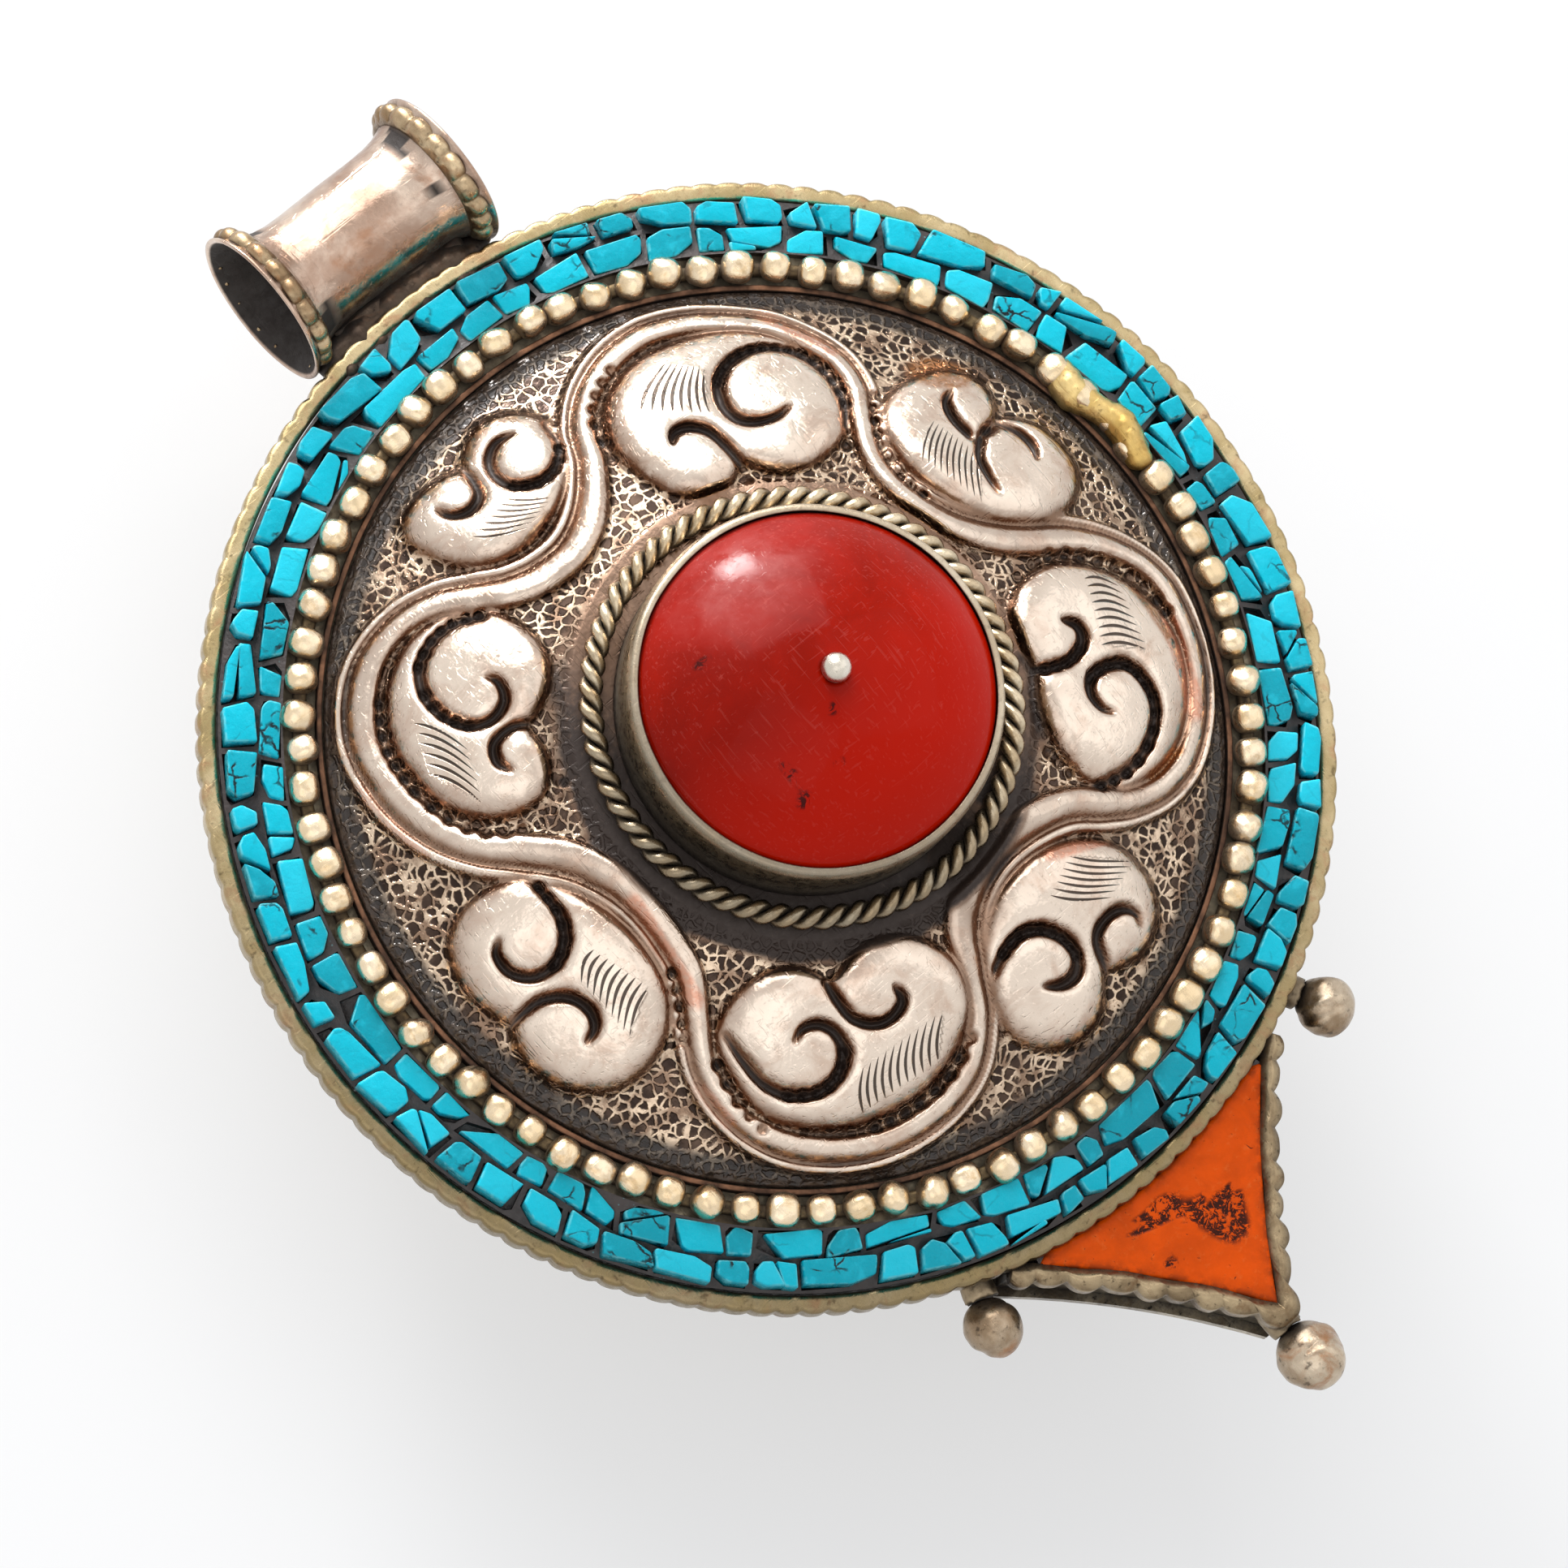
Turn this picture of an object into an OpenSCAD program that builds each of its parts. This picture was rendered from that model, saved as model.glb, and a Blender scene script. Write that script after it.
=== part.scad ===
// Ghau amulet box pendant: a shallow round box with a lift-off back cover.
// A repousse scroll plate domes up to a pinned coral cabochon, a channel
// round it holds a turquoise mosaic, a tube bail is soldered to the top edge
// and a coral drop with three ball finials hangs from the bottom edge.
// The pendant lies on its back. +Z comes out of the front, +Y runs to the
// bail, +X runs along the bore of the bail, and the origin is the middle of
// the round back face.

/* [Case and back cover] */
// Outer radius of the round case wall
case_r = 27.7; // [24:0.1:32]
// Thickness of the case wall strip
case_t = 0.7; // [0.5:0.05:1]
// Height of the case wall strip
case_h = 3.4; // [2.8:0.1:6]
// Thickness of the back cover plate
lid_t = 0.8; // [0.5:0.05:1.2]
// Height of the cover flange inside the wall
flange_h = 2.6; // [2:0.1:3.2]
// Thickness of the cover flange
flange_t = 0.6; // [0.4:0.05:0.8]
// Radial clearance of the cover flange in the wall
lid_fit = 0.06; // [0.03:0.01:0.1]
// Travel that takes the cover clear of the case
lid_travel = 10; // [6:0.5:20]

/* [Mosaic border] */
// Width of the flat rim wire round the front
rim_w = 1; // [0.7:0.05:1.4]
// Height of the rim wire
rim_h = 1.4; // [1.2:0.05:2]
// Number of notches along the rim wire
rim_notches = 90; // [60:1:110]
// Depth of each notch in the rim wire
notch_depth = 0.22; // [0.1:0.02:0.3]
// Distance from the case wall out to the inside of the rim wire
rim_lip = 0.3; // [0.1:0.05:0.6]
// Width of the channel for the mosaic
channel_w = 2.9; // [2.4:0.1:4]
// Thickness of the channel sheet
sheet_t = 0.6; // [0.4:0.05:0.8]
// Rise of the bead shelf over the channel floor
shelf_rise = 1.25; // [1:0.05:1.6]
// Rise of the mosaic face from the rim wire to the beads
mosaic_rise = 1.2; // [1.1:0.05:1.5]
// Depth of the mosaic face below the top of the rim wire
mosaic_drop = 0.1; // [0.05:0.01:0.2]
// Thickness of a turquoise chip
chip_t = 0.62; // [0.4:0.02:0.66]
// Height of the chips over the resin
chip_proud = 0.06; // [0.02:0.01:0.15]
// Resin joint between chips
chip_joint = 0.28; // [0.15:0.01:0.4]
// Chips in the outer and the inner row
chips_per_row = [68, 60]; // [50:1:80]

/* [Beads and scroll plate] */
// Diameter of one bead of the grain wire
bead_d = 1.65; // [1.4:0.05:1.9]
// Number of beads
bead_count = 80; // [70:1:90]
// Space between the channel edge and the beads
bead_set = 0.18; // [0.1:0.01:0.3]
// Thickness of the copper strip inside the beads
strip_t = 0.3; // [0.2:0.02:0.4]
// Height of the copper strip
strip_h = 0.65; // [0.4:0.05:1]
// Gap between the copper strip and the scroll plate
groove_w = 0.1; // [0.05:0.01:0.2]
// Thickness of the scroll plate
plate_t = 0.6; // [0.4:0.05:0.8]
// Width of the plate edge that rests on the shelf
plate_seat = 0.5; // [0.3:0.05:0.8]
// Rise of the domed plate from its edge to its crown
plate_rise = 5.45; // [4.5:0.05:6.5]
// Half the width of the running stem
stem_r = 1.35; // [1.1:0.05:1.5]
// Height of the stem over the plate
stem_lift = 0.85; // [0.5:0.05:1]
// Height of the low swell under a lobe
swell_lift = 0.7; // [0.4:0.05:0.8]
// Height of a large curl over the plate
curl_lift = 1.1; // [0.8:0.05:1.2]
// Radius of the fat part of a large curl
curl_r = 1.4; // [1.1:0.05:1.5]
// Radius of the winding of a large curl
curl_turn_r = 2.0; // [1.8:0.05:2.3]

/* [Coral setting] */
// Outer radius of the bezel wall
bezel_r = 9.4; // [8.5:0.1:10.5]
// Thickness of the bezel wall
bezel_t = 0.42; // [0.3:0.02:0.6]
// Height of the bezel wall over the plate
bezel_h = 4.5; // [3.8:0.1:5.5]
// Depth of the packing under the coral
packing_h = 2.4; // [1.8:0.1:2.8]
// Clearance of the coral in the bezel
coral_fit = 0.05; // [0.03:0.01:0.12]
// Rise of the coral dome over its straight side
coral_dome = 4.2; // [3:0.1:5]
// Height of the straight side of the coral below the bezel lip
coral_girdle_drop = 0.2; // [0.1:0.05:0.4]
// Diameter of the centre pin's ball head
pin_head_d = 1.5; // [1.2:0.05:2]
// Diameter of the centre pin's shank
pin_d = 0.8; // [0.6:0.05:1]
// Clearance of the shank in the pieces that it goes through
pin_fit = 0.06; // [0.04:0.01:0.1]
// Diameter and height of the peened tail of the pin
pin_tail = [1.8, 0.4]; // [0.3:0.05:2.2]
// Diameter of one strand of the twisted wire
strand_d = 0.56; // [0.5:0.02:0.7]
// Half the gap between the two strands
strand_gap = 0.05; // [0.05:0.01:0.1]
// Gap between the twisted wire and the bezel
twist_gap = 0.6; // [0.4:0.05:0.9]
// Full turns of twist round the ring
twist_turns = 33; // [24:1:40]
// Flat edge of the plate crown outside the twisted wire
crown_edge = 0.3; // [0.2:0.05:0.6]

/* [Bail] */
// Length of the bail tube
bail_len = 12; // [10:0.1:14]
// Radius of the straight bore of the bail
bail_bore_r = 2.7; // [2.3:0.05:3]
// Wall of the bail at its waist
bail_wall = 0.45; // [0.35:0.05:0.6]
// Inner radius of the bail mouth
mouth_r = 3.55; // [3.3:0.05:3.8]
// Outer radius of the bail lip
lip_r = 4.25; // [4.1:0.05:4.4]
// Length of the flare at each end of the bail
flare_len = 1.8; // [1.4:0.1:2.2]
// Diameter of the beads of the collar wire
collar_bead_d = 1.1; // [0.9:0.05:1.2]
// Number of beads on each collar
collar_beads = 22; // [16:1:26]
// Shift of the bail to the right of the middle
bail_shift = 0.2; // [0:0.05:0.6]
// Height of the bail axis over the back face
bail_z = 4.7; // [4.6:0.05:6]
// Space between the rim wire and the waist of the bail
bail_gap = 0.85; // [0.6:0.05:1.4]
// Space between the saddle and the collar at each end
saddle_gap = 0.6; // [0.4:0.1:1.5]

/* [Drop and finials] */
// Turn of the drop off the line of the bail
drop_turn = 2.1; // [0:0.1:6]
// Half angle of the drop where it meets the rim
drop_half_turn = 15.5; // [12:0.1:18]
// Length of the drop's coral from its foot to its tip
drop_len = 8.3; // [7:0.1:12]
// Hollow of each side of the drop
drop_hollow = 0.35; // [0.2:0.05:1]
// Back face of the drop over the back of the case
drop_z = 1; // [0.8:0.1:1.6]
// Thickness of the drop's back plate
drop_plate_t = 0.6; // [0.4:0.05:1]
// Front face of the drop over the back of the case
drop_front_z = 4.9; // [4.4:0.1:5.2]
// Thickness of the strip round the drop
drop_strip_t = 0.5; // [0.3:0.05:0.7]
// Width of the notched wire round the drop
drop_wire_w = 0.6; // [0.4:0.05:0.8]
// Height of the notched wire
drop_wire_h = 0.9; // [0.7:0.05:1.2]
// Notches along each side of the drop
drop_notches = 6; // [4:1:8]
// Thickness of the coral in the drop
drop_coral_t = 1.7; // [1:0.1:2]
// Diameter of each shoulder finial
shoulder_d = 3.3; // [2.8:0.1:3.6]
// Angle of the shoulder finials on each side of the drop
shoulder_turn = 22.8; // [22:0.2:30]
// Turn of both shoulder finials together past the drop
shoulder_lean = 1.5; // [0:0.1:2]
// Gap between the rim wire and a shoulder finial
shoulder_gap = 0.5; // [0.3:0.05:1]
// Diameter of the tip finial
tip_d = 3.7; // [3.2:0.1:4.2]
// Gap between the drop and the tip finial
tip_gap = 0.2; // [0.15:0.05:0.6]
// Diameter of the pegs that carry the finials
peg_d = 1.8; // [1.4:0.1:2.2]

/* [Hidden] */
// Overrun of every cut past the face that it opens
over = 0.5;

// Radii from the case outwards and inwards
rim_in_r = case_r + rim_lip;
rim_r = rim_in_r + rim_w;
channel_r = rim_in_r - channel_w;
bead_r = channel_r - bead_set - bead_d / 2;
strip_r = bead_r - bead_d / 2;
plate_r = strip_r - strip_t - groove_w;
strand_turn_r = strand_d / 2 + strand_gap;
wire_r = strand_turn_r + strand_d / 2;
twist_r = bezel_r + twist_gap + wire_r;
crown_r = twist_r + wire_r + crown_edge;

// Heights from the back face upwards
wall_top = lid_t + case_h;
floor_top = wall_top + sheet_t;
shelf_top = floor_top + shelf_rise;
rim_top = wall_top + rim_h;
mosaic_low = rim_top - mosaic_drop;
mosaic_high = mosaic_low + mosaic_rise;
plate_edge_top = shelf_top + plate_t;
crown_top = plate_edge_top + plate_rise;
lip_top = crown_top + bezel_h;
coral_base = crown_top + packing_h;
girdle_top = lip_top - coral_girdle_drop;
coral_top = girdle_top + coral_dome;
pin_seat_share = 0.85;
pin_seat_r = pin_seat_share * pin_head_d / 2;
head_z = coral_top + sqrt(pin_head_d * pin_head_d / 4 - pin_seat_r * pin_seat_r);

// Shared module for every straight cylinder round an upright line
module ring(r_out, r_in, z_low, z_high, fn = 180) {
    translate([0, 0, z_low]) difference() {
        cylinder(r = r_out, h = z_high - z_low, $fn = fn);
        translate([0, 0, -over]) cylinder(r = r_in, h = z_high - z_low + 2 * over, $fn = fn);
    }
}

// Tube swept along a path, with one radius for each point of the path
function unit(v) = v / norm(v);
function path_dir(path, i, closed) = let (n = len(path))
    unit(path[closed ? (i + 1) % n : min(i + 1, n - 1)] - path[closed ? (i + n - 1) % n : max(i - 1, 0)]);
function ring_points(centre, dir, r, sides) = let (
    side = unit(cross([0, 0, 1], dir)), up = cross(dir, side))
    [for (k = [0:sides - 1]) centre + r * (cos(360 * k / sides) * side + sin(360 * k / sides) * up)];
module swept_tube(path, radii, sides, closed = false) {
    n = len(path);
    points = [for (i = [0:n - 1]) each ring_points(path[i], path_dir(path, i, closed), radii[i], sides)];
    walls = [for (i = [0:(closed ? n - 1 : n - 2)], k = [0:sides - 1])
        let (a = i * sides, b = ((i + 1) % n) * sides, m = (k + 1) % sides)
        each [[a + k, b + k, b + m], [a + k, b + m, a + m]]];
    caps = closed ? [] : [[for (k = [0:sides - 1]) k],
                          [for (k = [sides - 1:-1:0]) (n - 1) * sides + k]];
    polyhedron(points, concat(walls, caps), convexity = 10);
}

// Case wall: a strip bent round and closed, open at the back
module case_wall() {
    color("tan") ring(case_r, case_r - case_t, lid_t, wall_top);
}

// Channel plate: floor of the mosaic channel, stepped up to the bead shelf
module channel_plate() {
    color("tan") rotate_extrude($fn = 180) polygon([
        [plate_r - plate_seat, shelf_top - sheet_t],
        [channel_r - sheet_t, shelf_top - sheet_t],
        [channel_r - sheet_t, wall_top],
        [rim_in_r, wall_top],
        [rim_in_r, floor_top],
        [channel_r, floor_top],
        [channel_r, shelf_top],
        [plate_r - plate_seat, shelf_top]]);
}

// Rim wire: flat on top, with round notches pressed into its outer edge
notch_r = PI * rim_r / rim_notches / 2;
module rim_wire() {
    color("darkkhaki") translate([0, 0, wall_top]) linear_extrude(rim_h) difference() {
        circle(r = rim_r, $fn = 180);
        circle(r = rim_in_r, $fn = 180);
        for (i = [0:rim_notches - 1]) rotate(360 * i / rim_notches)
            translate([rim_r - notch_depth + notch_r, 0]) circle(r = notch_r, $fn = 24);
    }
}

// Mosaic: height of its sloping face at a radius, and one shell under that face
mosaic_in_r = bead_r + bead_d / 2 + bead_set / 6;
function mosaic_face(r) = mosaic_low + mosaic_rise * (rim_in_r - r) / (rim_in_r - mosaic_in_r);
module mosaic_shell(r_in, r_out, above, below) {
    rotate_extrude($fn = 180) polygon([
        [r_in, mosaic_face(r_in) - below], [r_out, mosaic_face(r_out) - below],
        [r_out, mosaic_face(r_out) + above], [r_in, mosaic_face(r_in) + above]]);
}

// Chips: two rows of uneven stones between joints, with one corner broken off each
row_split_r = (rim_in_r + mosaic_in_r) / 2;
row_wave = channel_w / 12;
joint_turn = 180 * chip_joint / PI / row_split_r;
function split_r(a) = row_split_r + row_wave * sin(7 * a) + row_wave * sin(17 * a + 40) / 2;
function on_circle(r, a) = [r * cos(a), r * sin(a)];
function chip_edges(row, seed) = let (n = chips_per_row[row], j = rands(-1, 1, 2 * n, seed))
    [for (i = [0:n - 1]) [360 * (i + 0.27 * j[i]) / n, 360 * (i + 0.27 * j[i] + 0.16 * j[i + n]) / n]];
function chip_corners(row, e, f) = let (g = joint_turn / 2, gap = chip_joint / 2)
    row == 0
    ? [on_circle(split_r(e[1]) + gap, e[1] + g), on_circle(rim_in_r - gap, e[0] + g),
       on_circle(rim_in_r - gap, f[0] - g), on_circle(split_r(f[1]) + gap, f[1] - g)]
    : [on_circle(mosaic_in_r + gap, e[0] + g), on_circle(split_r(e[1]) - gap, e[1] + g),
       on_circle(split_r(f[1]) - gap, f[1] - g), on_circle(mosaic_in_r + gap, f[0] - g)];
function broken(c, k, share) = [for (i = [0:3]) each i == k
    ? [c[i] + share * (c[(i + 3) % 4] - c[i]), c[i] + share * (c[(i + 1) % 4] - c[i])] : [c[i]]];
module chip_outlines(row, seed) {
    edges = chip_edges(row, seed);
    n = len(edges);
    pick = rands(0, 4, n, seed + 1);
    share = rands(0.12, 0.45, n, seed + 2);
    for (i = [0:n - 1]) let (next = (i + 1) % n, wrap = i + 1 < n ? [0, 0] : [360, 360])
        polygon(broken(chip_corners(row, edges[i], edges[next] + wrap), floor(pick[i]), share[i]));
}
module chip_prisms() {
    linear_extrude(mosaic_high + chip_proud + over) {
        chip_outlines(0, 11);
        chip_outlines(1, 29);
    }
}

// Mosaic bed: dark resin from the channel floor up to the face, round the chips
module mosaic_bed() {
    color("dimgray") difference() {
        rotate_extrude($fn = 180) polygon([
            [channel_r, floor_top], [rim_in_r, floor_top], [rim_in_r, mosaic_low],
            [mosaic_in_r, mosaic_high], [mosaic_in_r, shelf_top], [channel_r, shelf_top]]);
        intersection() {
            mosaic_shell(mosaic_in_r, rim_in_r, chip_proud + over, chip_t);
            chip_prisms();
        }
    }
}
module turquoise_chips() {
    color("turquoise") intersection() {
        mosaic_shell(mosaic_in_r, rim_in_r, chip_proud, chip_t);
        chip_prisms();
    }
}

// Bead ring: grain wire, round beads on a flat core
core_w_share = 0.5;
bead_z = shelf_top + bead_d / 2;
module bead_ring() {
    core = bead_d * core_w_share;
    color("palegoldenrod") {
        ring(bead_r + core / 2, bead_r - core / 2, shelf_top, bead_z + core / 2);
        for (i = [0:bead_count - 1]) rotate(360 * i / bead_count)
            translate([bead_r, 0, bead_z]) sphere(d = bead_d, $fn = 24);
    }
}
module copper_strip() {
    color("peru") ring(strip_r, strip_r - strip_t, shelf_top, shelf_top + strip_h);
}

// Scroll plate: one domed sheet, beaten up from behind into a running stem that swings
// past eight lobes, each a low swell under a large and a small curl
dome_bulge_share = 0.05;
function dome_top(r) = let (t = min(max((r - crown_r) / (plate_r - crown_r), 0), 1))
    crown_top - plate_rise * (t - dome_bulge_share * sin(180 * t));

// The scrollwork is laid out by hand, in hundredths of the plate's radius
layout_r = plate_r / 100;
// Middle line of the stem: [x, y], once round the plate
stem_line = [
    [0, 70], [7, 83], [15, 88], [28, 90], [39, 88], [48, 82], [55, 75], [60, 66], [63, 57], [62, 48],
    [57, 41], [53, 33], [52, 24], [53, 13], [56, 6], [61, 1], [72, -4], [79, -10], [84, -17], [88, -25],
    [87, -34], [83, -42], [78, -51], [70, -58], [61, -62], [50, -63], [43, -60], [37, -56], [30, -54],
    [22, -53], [11, -54], [2, -56], [-4, -63], [-10, -73], [-17, -80], [-26, -84], [-39, -85], [-51, -81],
    [-59, -74], [-64, -66], [-67, -57], [-67, -48], [-64, -39], [-60, -31], [-58, -22], [-57, -13],
    [-58, -4], [-61, 4], [-66, 11], [-73, 16], [-78, 24], [-80, 35], [-78, 48], [-73, 59], [-62, 67],
    [-50, 70], [-39, 66], [-31, 61], [-22, 57], [-13, 58], [-6, 62]];
// Round blows of the swell under each lobe: [x, y, radius]
swells = [
    [42, 56, 15], [24, 70, 13], [17, 61, 10], [35, 70, 11], [46, 71, 8],
    [64, 27, 11], [65, 15, 10], [78, 31, 10], [80, 13, 12], [71, 21, 9],
    [58, -16, 11], [71, -26, 12], [74, -38, 11], [57, -40, 14], [64, -25, 9],
    [5, -78, 13], [20, -66, 11], [30, -69, 11], [31, -80, 9], [19, -75, 9],
    [-49, -57, 14], [-23, -59, 12], [-35, -71, 10], [-24, -70, 10], [-48, -70, 10], [-36, -62, 9],
    [-80, 0, 12], [-83, -20, 9], [-72, -20, 11], [-75, -30, 9], [-77, -11, 9],
    [-48, 49, 13], [-56, 31, 9], [-65, 39, 11], [-63, 52, 9], [-57, 40, 9], [-42, 60, 8],
    [-7, 83, 11], [-26, 81, 10], [-21, 73, 10], [-11, 72, 9], [-17, 79, 8]];
// Curls: [x, y, size share, turn where the winding starts, degrees that it winds]
curls = [
    [41, 56, 1, 150, 305], [17, 62, 0.7, 145, 200],
    [77, 33, 0.8, 145, -265], [80, 13, 0.85, 65, -265],
    [61, -21, 0.85, 35, 190], [56, -39, 0.95, 85, 285],
    [30, -79, 0.7, 20, -205], [5, -79, 0.9, 120, 290],
    [-48, -55, 0.95, 20, 310], [-22, -62, 0.8, -30, 205],
    [-79, -1, 0.9, -30, 320], [-82, -23, 0.75, -60, -245],
    [-49, 48, 0.95, -120, 300], [-59, 32, 0.65, 160, 215],
    [-8, 84, 0.7, 200, -290], [-26, 79, 0.7, 215, -170]];

// A curl is a row of round blows along a spiral: [x, y, radius, height]
blows = 12;
wind_in_share = 0.3;
thin_share = 0.5;
function curl_blows(c) = [for (k = [0:blows]) let (
    s = k / blows, turn = c[3] + c[4] * s, reach = curl_turn_r * c[2] * (1 - wind_in_share * s),
    fat = c[2] * (thin_share + (1 - thin_share) * sin(180 * s)))
    [c[0] * layout_r + reach * cos(turn), c[1] * layout_r + reach * sin(turn),
     curl_r * fat, curl_lift * sqrt(fat)]];
function dome_blow(d) = d < 1 ? 1 - d * d : 0;
function blow_height(p, found) =
    max([for (b = found) b[3] * dome_blow(norm([p[0] - b[0], p[1] - b[1]]) / b[2])]);
function off_line(p, a, b) =
    let (t = min(max((p - a) * (b - a) / ((b - a) * (b - a)), 0), 1)) norm(p - a - t * (b - a));
function stem_height(p) = let (off = min([for (i = [0:len(stem_line) - 1])
    off_line(p, stem_line[i] * layout_r, stem_line[(i + 1) % len(stem_line)] * layout_r)]))
    stem_lift * dome_blow(off / stem_r);
edge_share = 0.02;
function relief(r, a, found) = let (
    t = (r - crown_r) / (plate_r - crown_r), p = [r * cos(a), r * sin(a)])
    t < edge_share || t > 1 - edge_share ? 0 : max(stem_height(p), blow_height(p, found));

// The sheet is one closed skin. Its rings run from the pin hole over the crown and down the
// front to the edge, then back up the hollow inside. Counts of points on a ring divide evenly
front_turns = 192;
back_turns = 48;
hole_turns = 16;
front_rings = 25;
back_rings = 5;
hole_r = (pin_d / 2 + pin_fit) / cos(180 / hole_turns);
function ring_at(r, z, n) = [for (k = [0:n - 1]) [r * cos(360 * k / n), r * sin(360 * k / n), z]];
function front_skin() = let (
    found = concat([for (s = swells) [each s * layout_r, swell_lift]], [for (c = curls) each curl_blows(c)]))
    [for (i = [0:front_rings]) let (r = crown_r + (plate_r - crown_r) * i / front_rings)
        [for (k = [0:front_turns - 1]) let (a = 360 * k / front_turns)
            [r * cos(a), r * sin(a), dome_top(r) + relief(r, a, found)]]];
function back_skin() = [for (i = [back_rings - 1:-1:0])
    let (r = crown_r + (plate_r - crown_r) * i / back_rings) ring_at(r, dome_top(r) - plate_t, back_turns)];
function ring_start(rings, i) = i == 0 ? 0 : ring_start(rings, i - 1) + len(rings[i - 1]);
// Faces between two rings. Equal rings are split along each quad's more level diagonal, and
// otherwise one ring has a whole number of times the other's points
function even_stitch(s0, r0, s1, r1) = let (n = len(r0)) [for (k = [0:n - 1]) let (m = (k + 1) % n)
    each abs(r0[k][2] - r1[m][2]) < abs(r0[m][2] - r1[k][2])
        ? [[s0 + k, s0 + m, s1 + m], [s0 + k, s1 + m, s1 + k]]
        : [[s0 + k, s0 + m, s1 + k], [s0 + m, s1 + m, s1 + k]]];
function fan_stitch(s0, n0, s1, n1) = let (m = n0 / n1) concat(
    [for (k = [0:n0 - 1]) [s0 + k, s0 + (k + 1) % n0, s1 + floor((k + m / 2) / m) % n1]],
    [for (k = [0:n1 - 1]) [s0 + (k * m + floor((m - 1) / 2) + 1) % n0, s1 + (k + 1) % n1, s1 + k]]);
function stitch(s0, r0, s1, r1) =
    len(r0) == len(r1) ? even_stitch(s0, r0, s1, r1)
    : len(r0) > len(r1) ? fan_stitch(s0, len(r0), s1, len(r1))
    : [for (f = fan_stitch(s1, len(r1), s0, len(r0))) [f[0], f[2], f[1]]];
module scroll_plate() {
    rings = concat([ring_at(hole_r, crown_top, hole_turns)], front_skin(),
        [ring_at(plate_r, shelf_top, back_turns), ring_at(plate_r - plate_seat, shelf_top, back_turns)],
        back_skin(), [ring_at(hole_r, crown_top - plate_t, hole_turns)]);
    starts = [for (i = [0:len(rings) - 1]) ring_start(rings, i)];
    faces = [for (i = [0:len(rings) - 1]) let (j = (i + 1) % len(rings))
        each stitch(starts[i], rings[i], starts[j], rings[j])];
    color("silver") polyhedron([for (r = rings) each r], faces, convexity = 10);
}

// Twisted wire: two strands round each other, closed into a ring on the crown
twist_rings = 6;
strand_sides = 5;
strand_low = strand_turn_r + strand_d / 2 * cos(180 / strand_sides);
module twist_strand(phase) {
    n = twist_turns * twist_rings;
    path = [for (i = [0:n - 1]) let (
        a = 360 * i / n, w = 360 * i / twist_rings + phase, r = twist_r + strand_turn_r * cos(w))
        [r * cos(a), r * sin(a), crown_top + strand_low + strand_turn_r * sin(w)]];
    swept_tube(path, [for (i = [1:n]) strand_d / 2], strand_sides, true);
}
module twisted_wire() {
    color("darkkhaki") {
        twist_strand(0);
        twist_strand(180);
    }
}

// Bezel wall: an upright strip round the coral, its lip turned in a little
lip_turn = bezel_t / 3;
module bezel_wall() {
    color("silver") rotate_extrude($fn = 180) polygon([
        [bezel_r - bezel_t, crown_top], [bezel_r, crown_top], [bezel_r, lip_top - 2 * lip_turn],
        [bezel_r - lip_turn, lip_top], [bezel_r - bezel_t, lip_top]]);
}
coral_r = bezel_r - bezel_t - coral_fit;
module coral_packing() {
    color("saddlebrown") ring(coral_r, pin_d / 2 + pin_fit, crown_top, coral_base);
}

// Coral: a straight girdle under a round dome, drilled for the pin
dome_radius = (coral_r * coral_r + coral_dome * coral_dome) / (2 * coral_dome);
module coral_cabochon() {
    color("firebrick") difference() {
        union() {
            translate([0, 0, coral_base]) cylinder(r = coral_r, h = girdle_top - coral_base, $fn = 120);
            intersection() {
                translate([0, 0, coral_top - dome_radius]) sphere(r = dome_radius, $fn = 120);
                translate([0, 0, girdle_top]) cylinder(r = coral_r + over, h = coral_dome + over, $fn = 120);
            }
        }
        translate([0, 0, coral_base - over])
            cylinder(d = pin_d + 2 * pin_fit, h = coral_top - coral_base + 2 * over, $fn = 32);
        translate([0, 0, head_z - pin_head_d / 2 - pin_fit])
            cylinder(r = pin_seat_r, h = pin_head_d, $fn = 32);
    }
}

// Centre pin: ball head on the coral, shank down through the plate, peened tail
module centre_pin() {
    tail_z = crown_top - plate_t - pin_tail[1];
    color("silver") {
        translate([0, 0, head_z]) sphere(d = pin_head_d, $fn = 32);
        translate([0, 0, tail_z]) cylinder(d = pin_d, h = head_z - tail_z, $fn = 32);
        translate([0, 0, tail_z]) cylinder(d = pin_tail[0], h = pin_tail[1], $fn = 32);
    }
}

// Bail: a tube across the top, with flared mouths and a beaded collar at each end
bail_r = bail_bore_r + bail_wall;
bail_y = rim_r + bail_gap + bail_r;
collar_seat_r = bail_r + bail_wall / 2;
collar_mid = bail_len / 2 - flare_len / 8 - collar_bead_d / 2;
module along_bail() {
    translate([bail_shift, bail_y, bail_z]) rotate([0, 90, 0]) children();
}
function mirrored(points) = concat(points, [for (i = [len(points) - 1:-1:0]) [points[i][0], -points[i][1]]]);
bail_half = bail_len / 2;
seat_in = collar_mid - collar_bead_d / 2;
seat_out = collar_mid + collar_bead_d / 2;
bail_outside = mirrored([[lip_r, bail_half], [collar_seat_r + (lip_r - collar_seat_r) * 0.4, seat_out],
                         [collar_seat_r, seat_out], [collar_seat_r, seat_in],
                         [bail_r + bail_wall * 0.2, seat_in], [bail_r, seat_in - flare_len]]);
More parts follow.
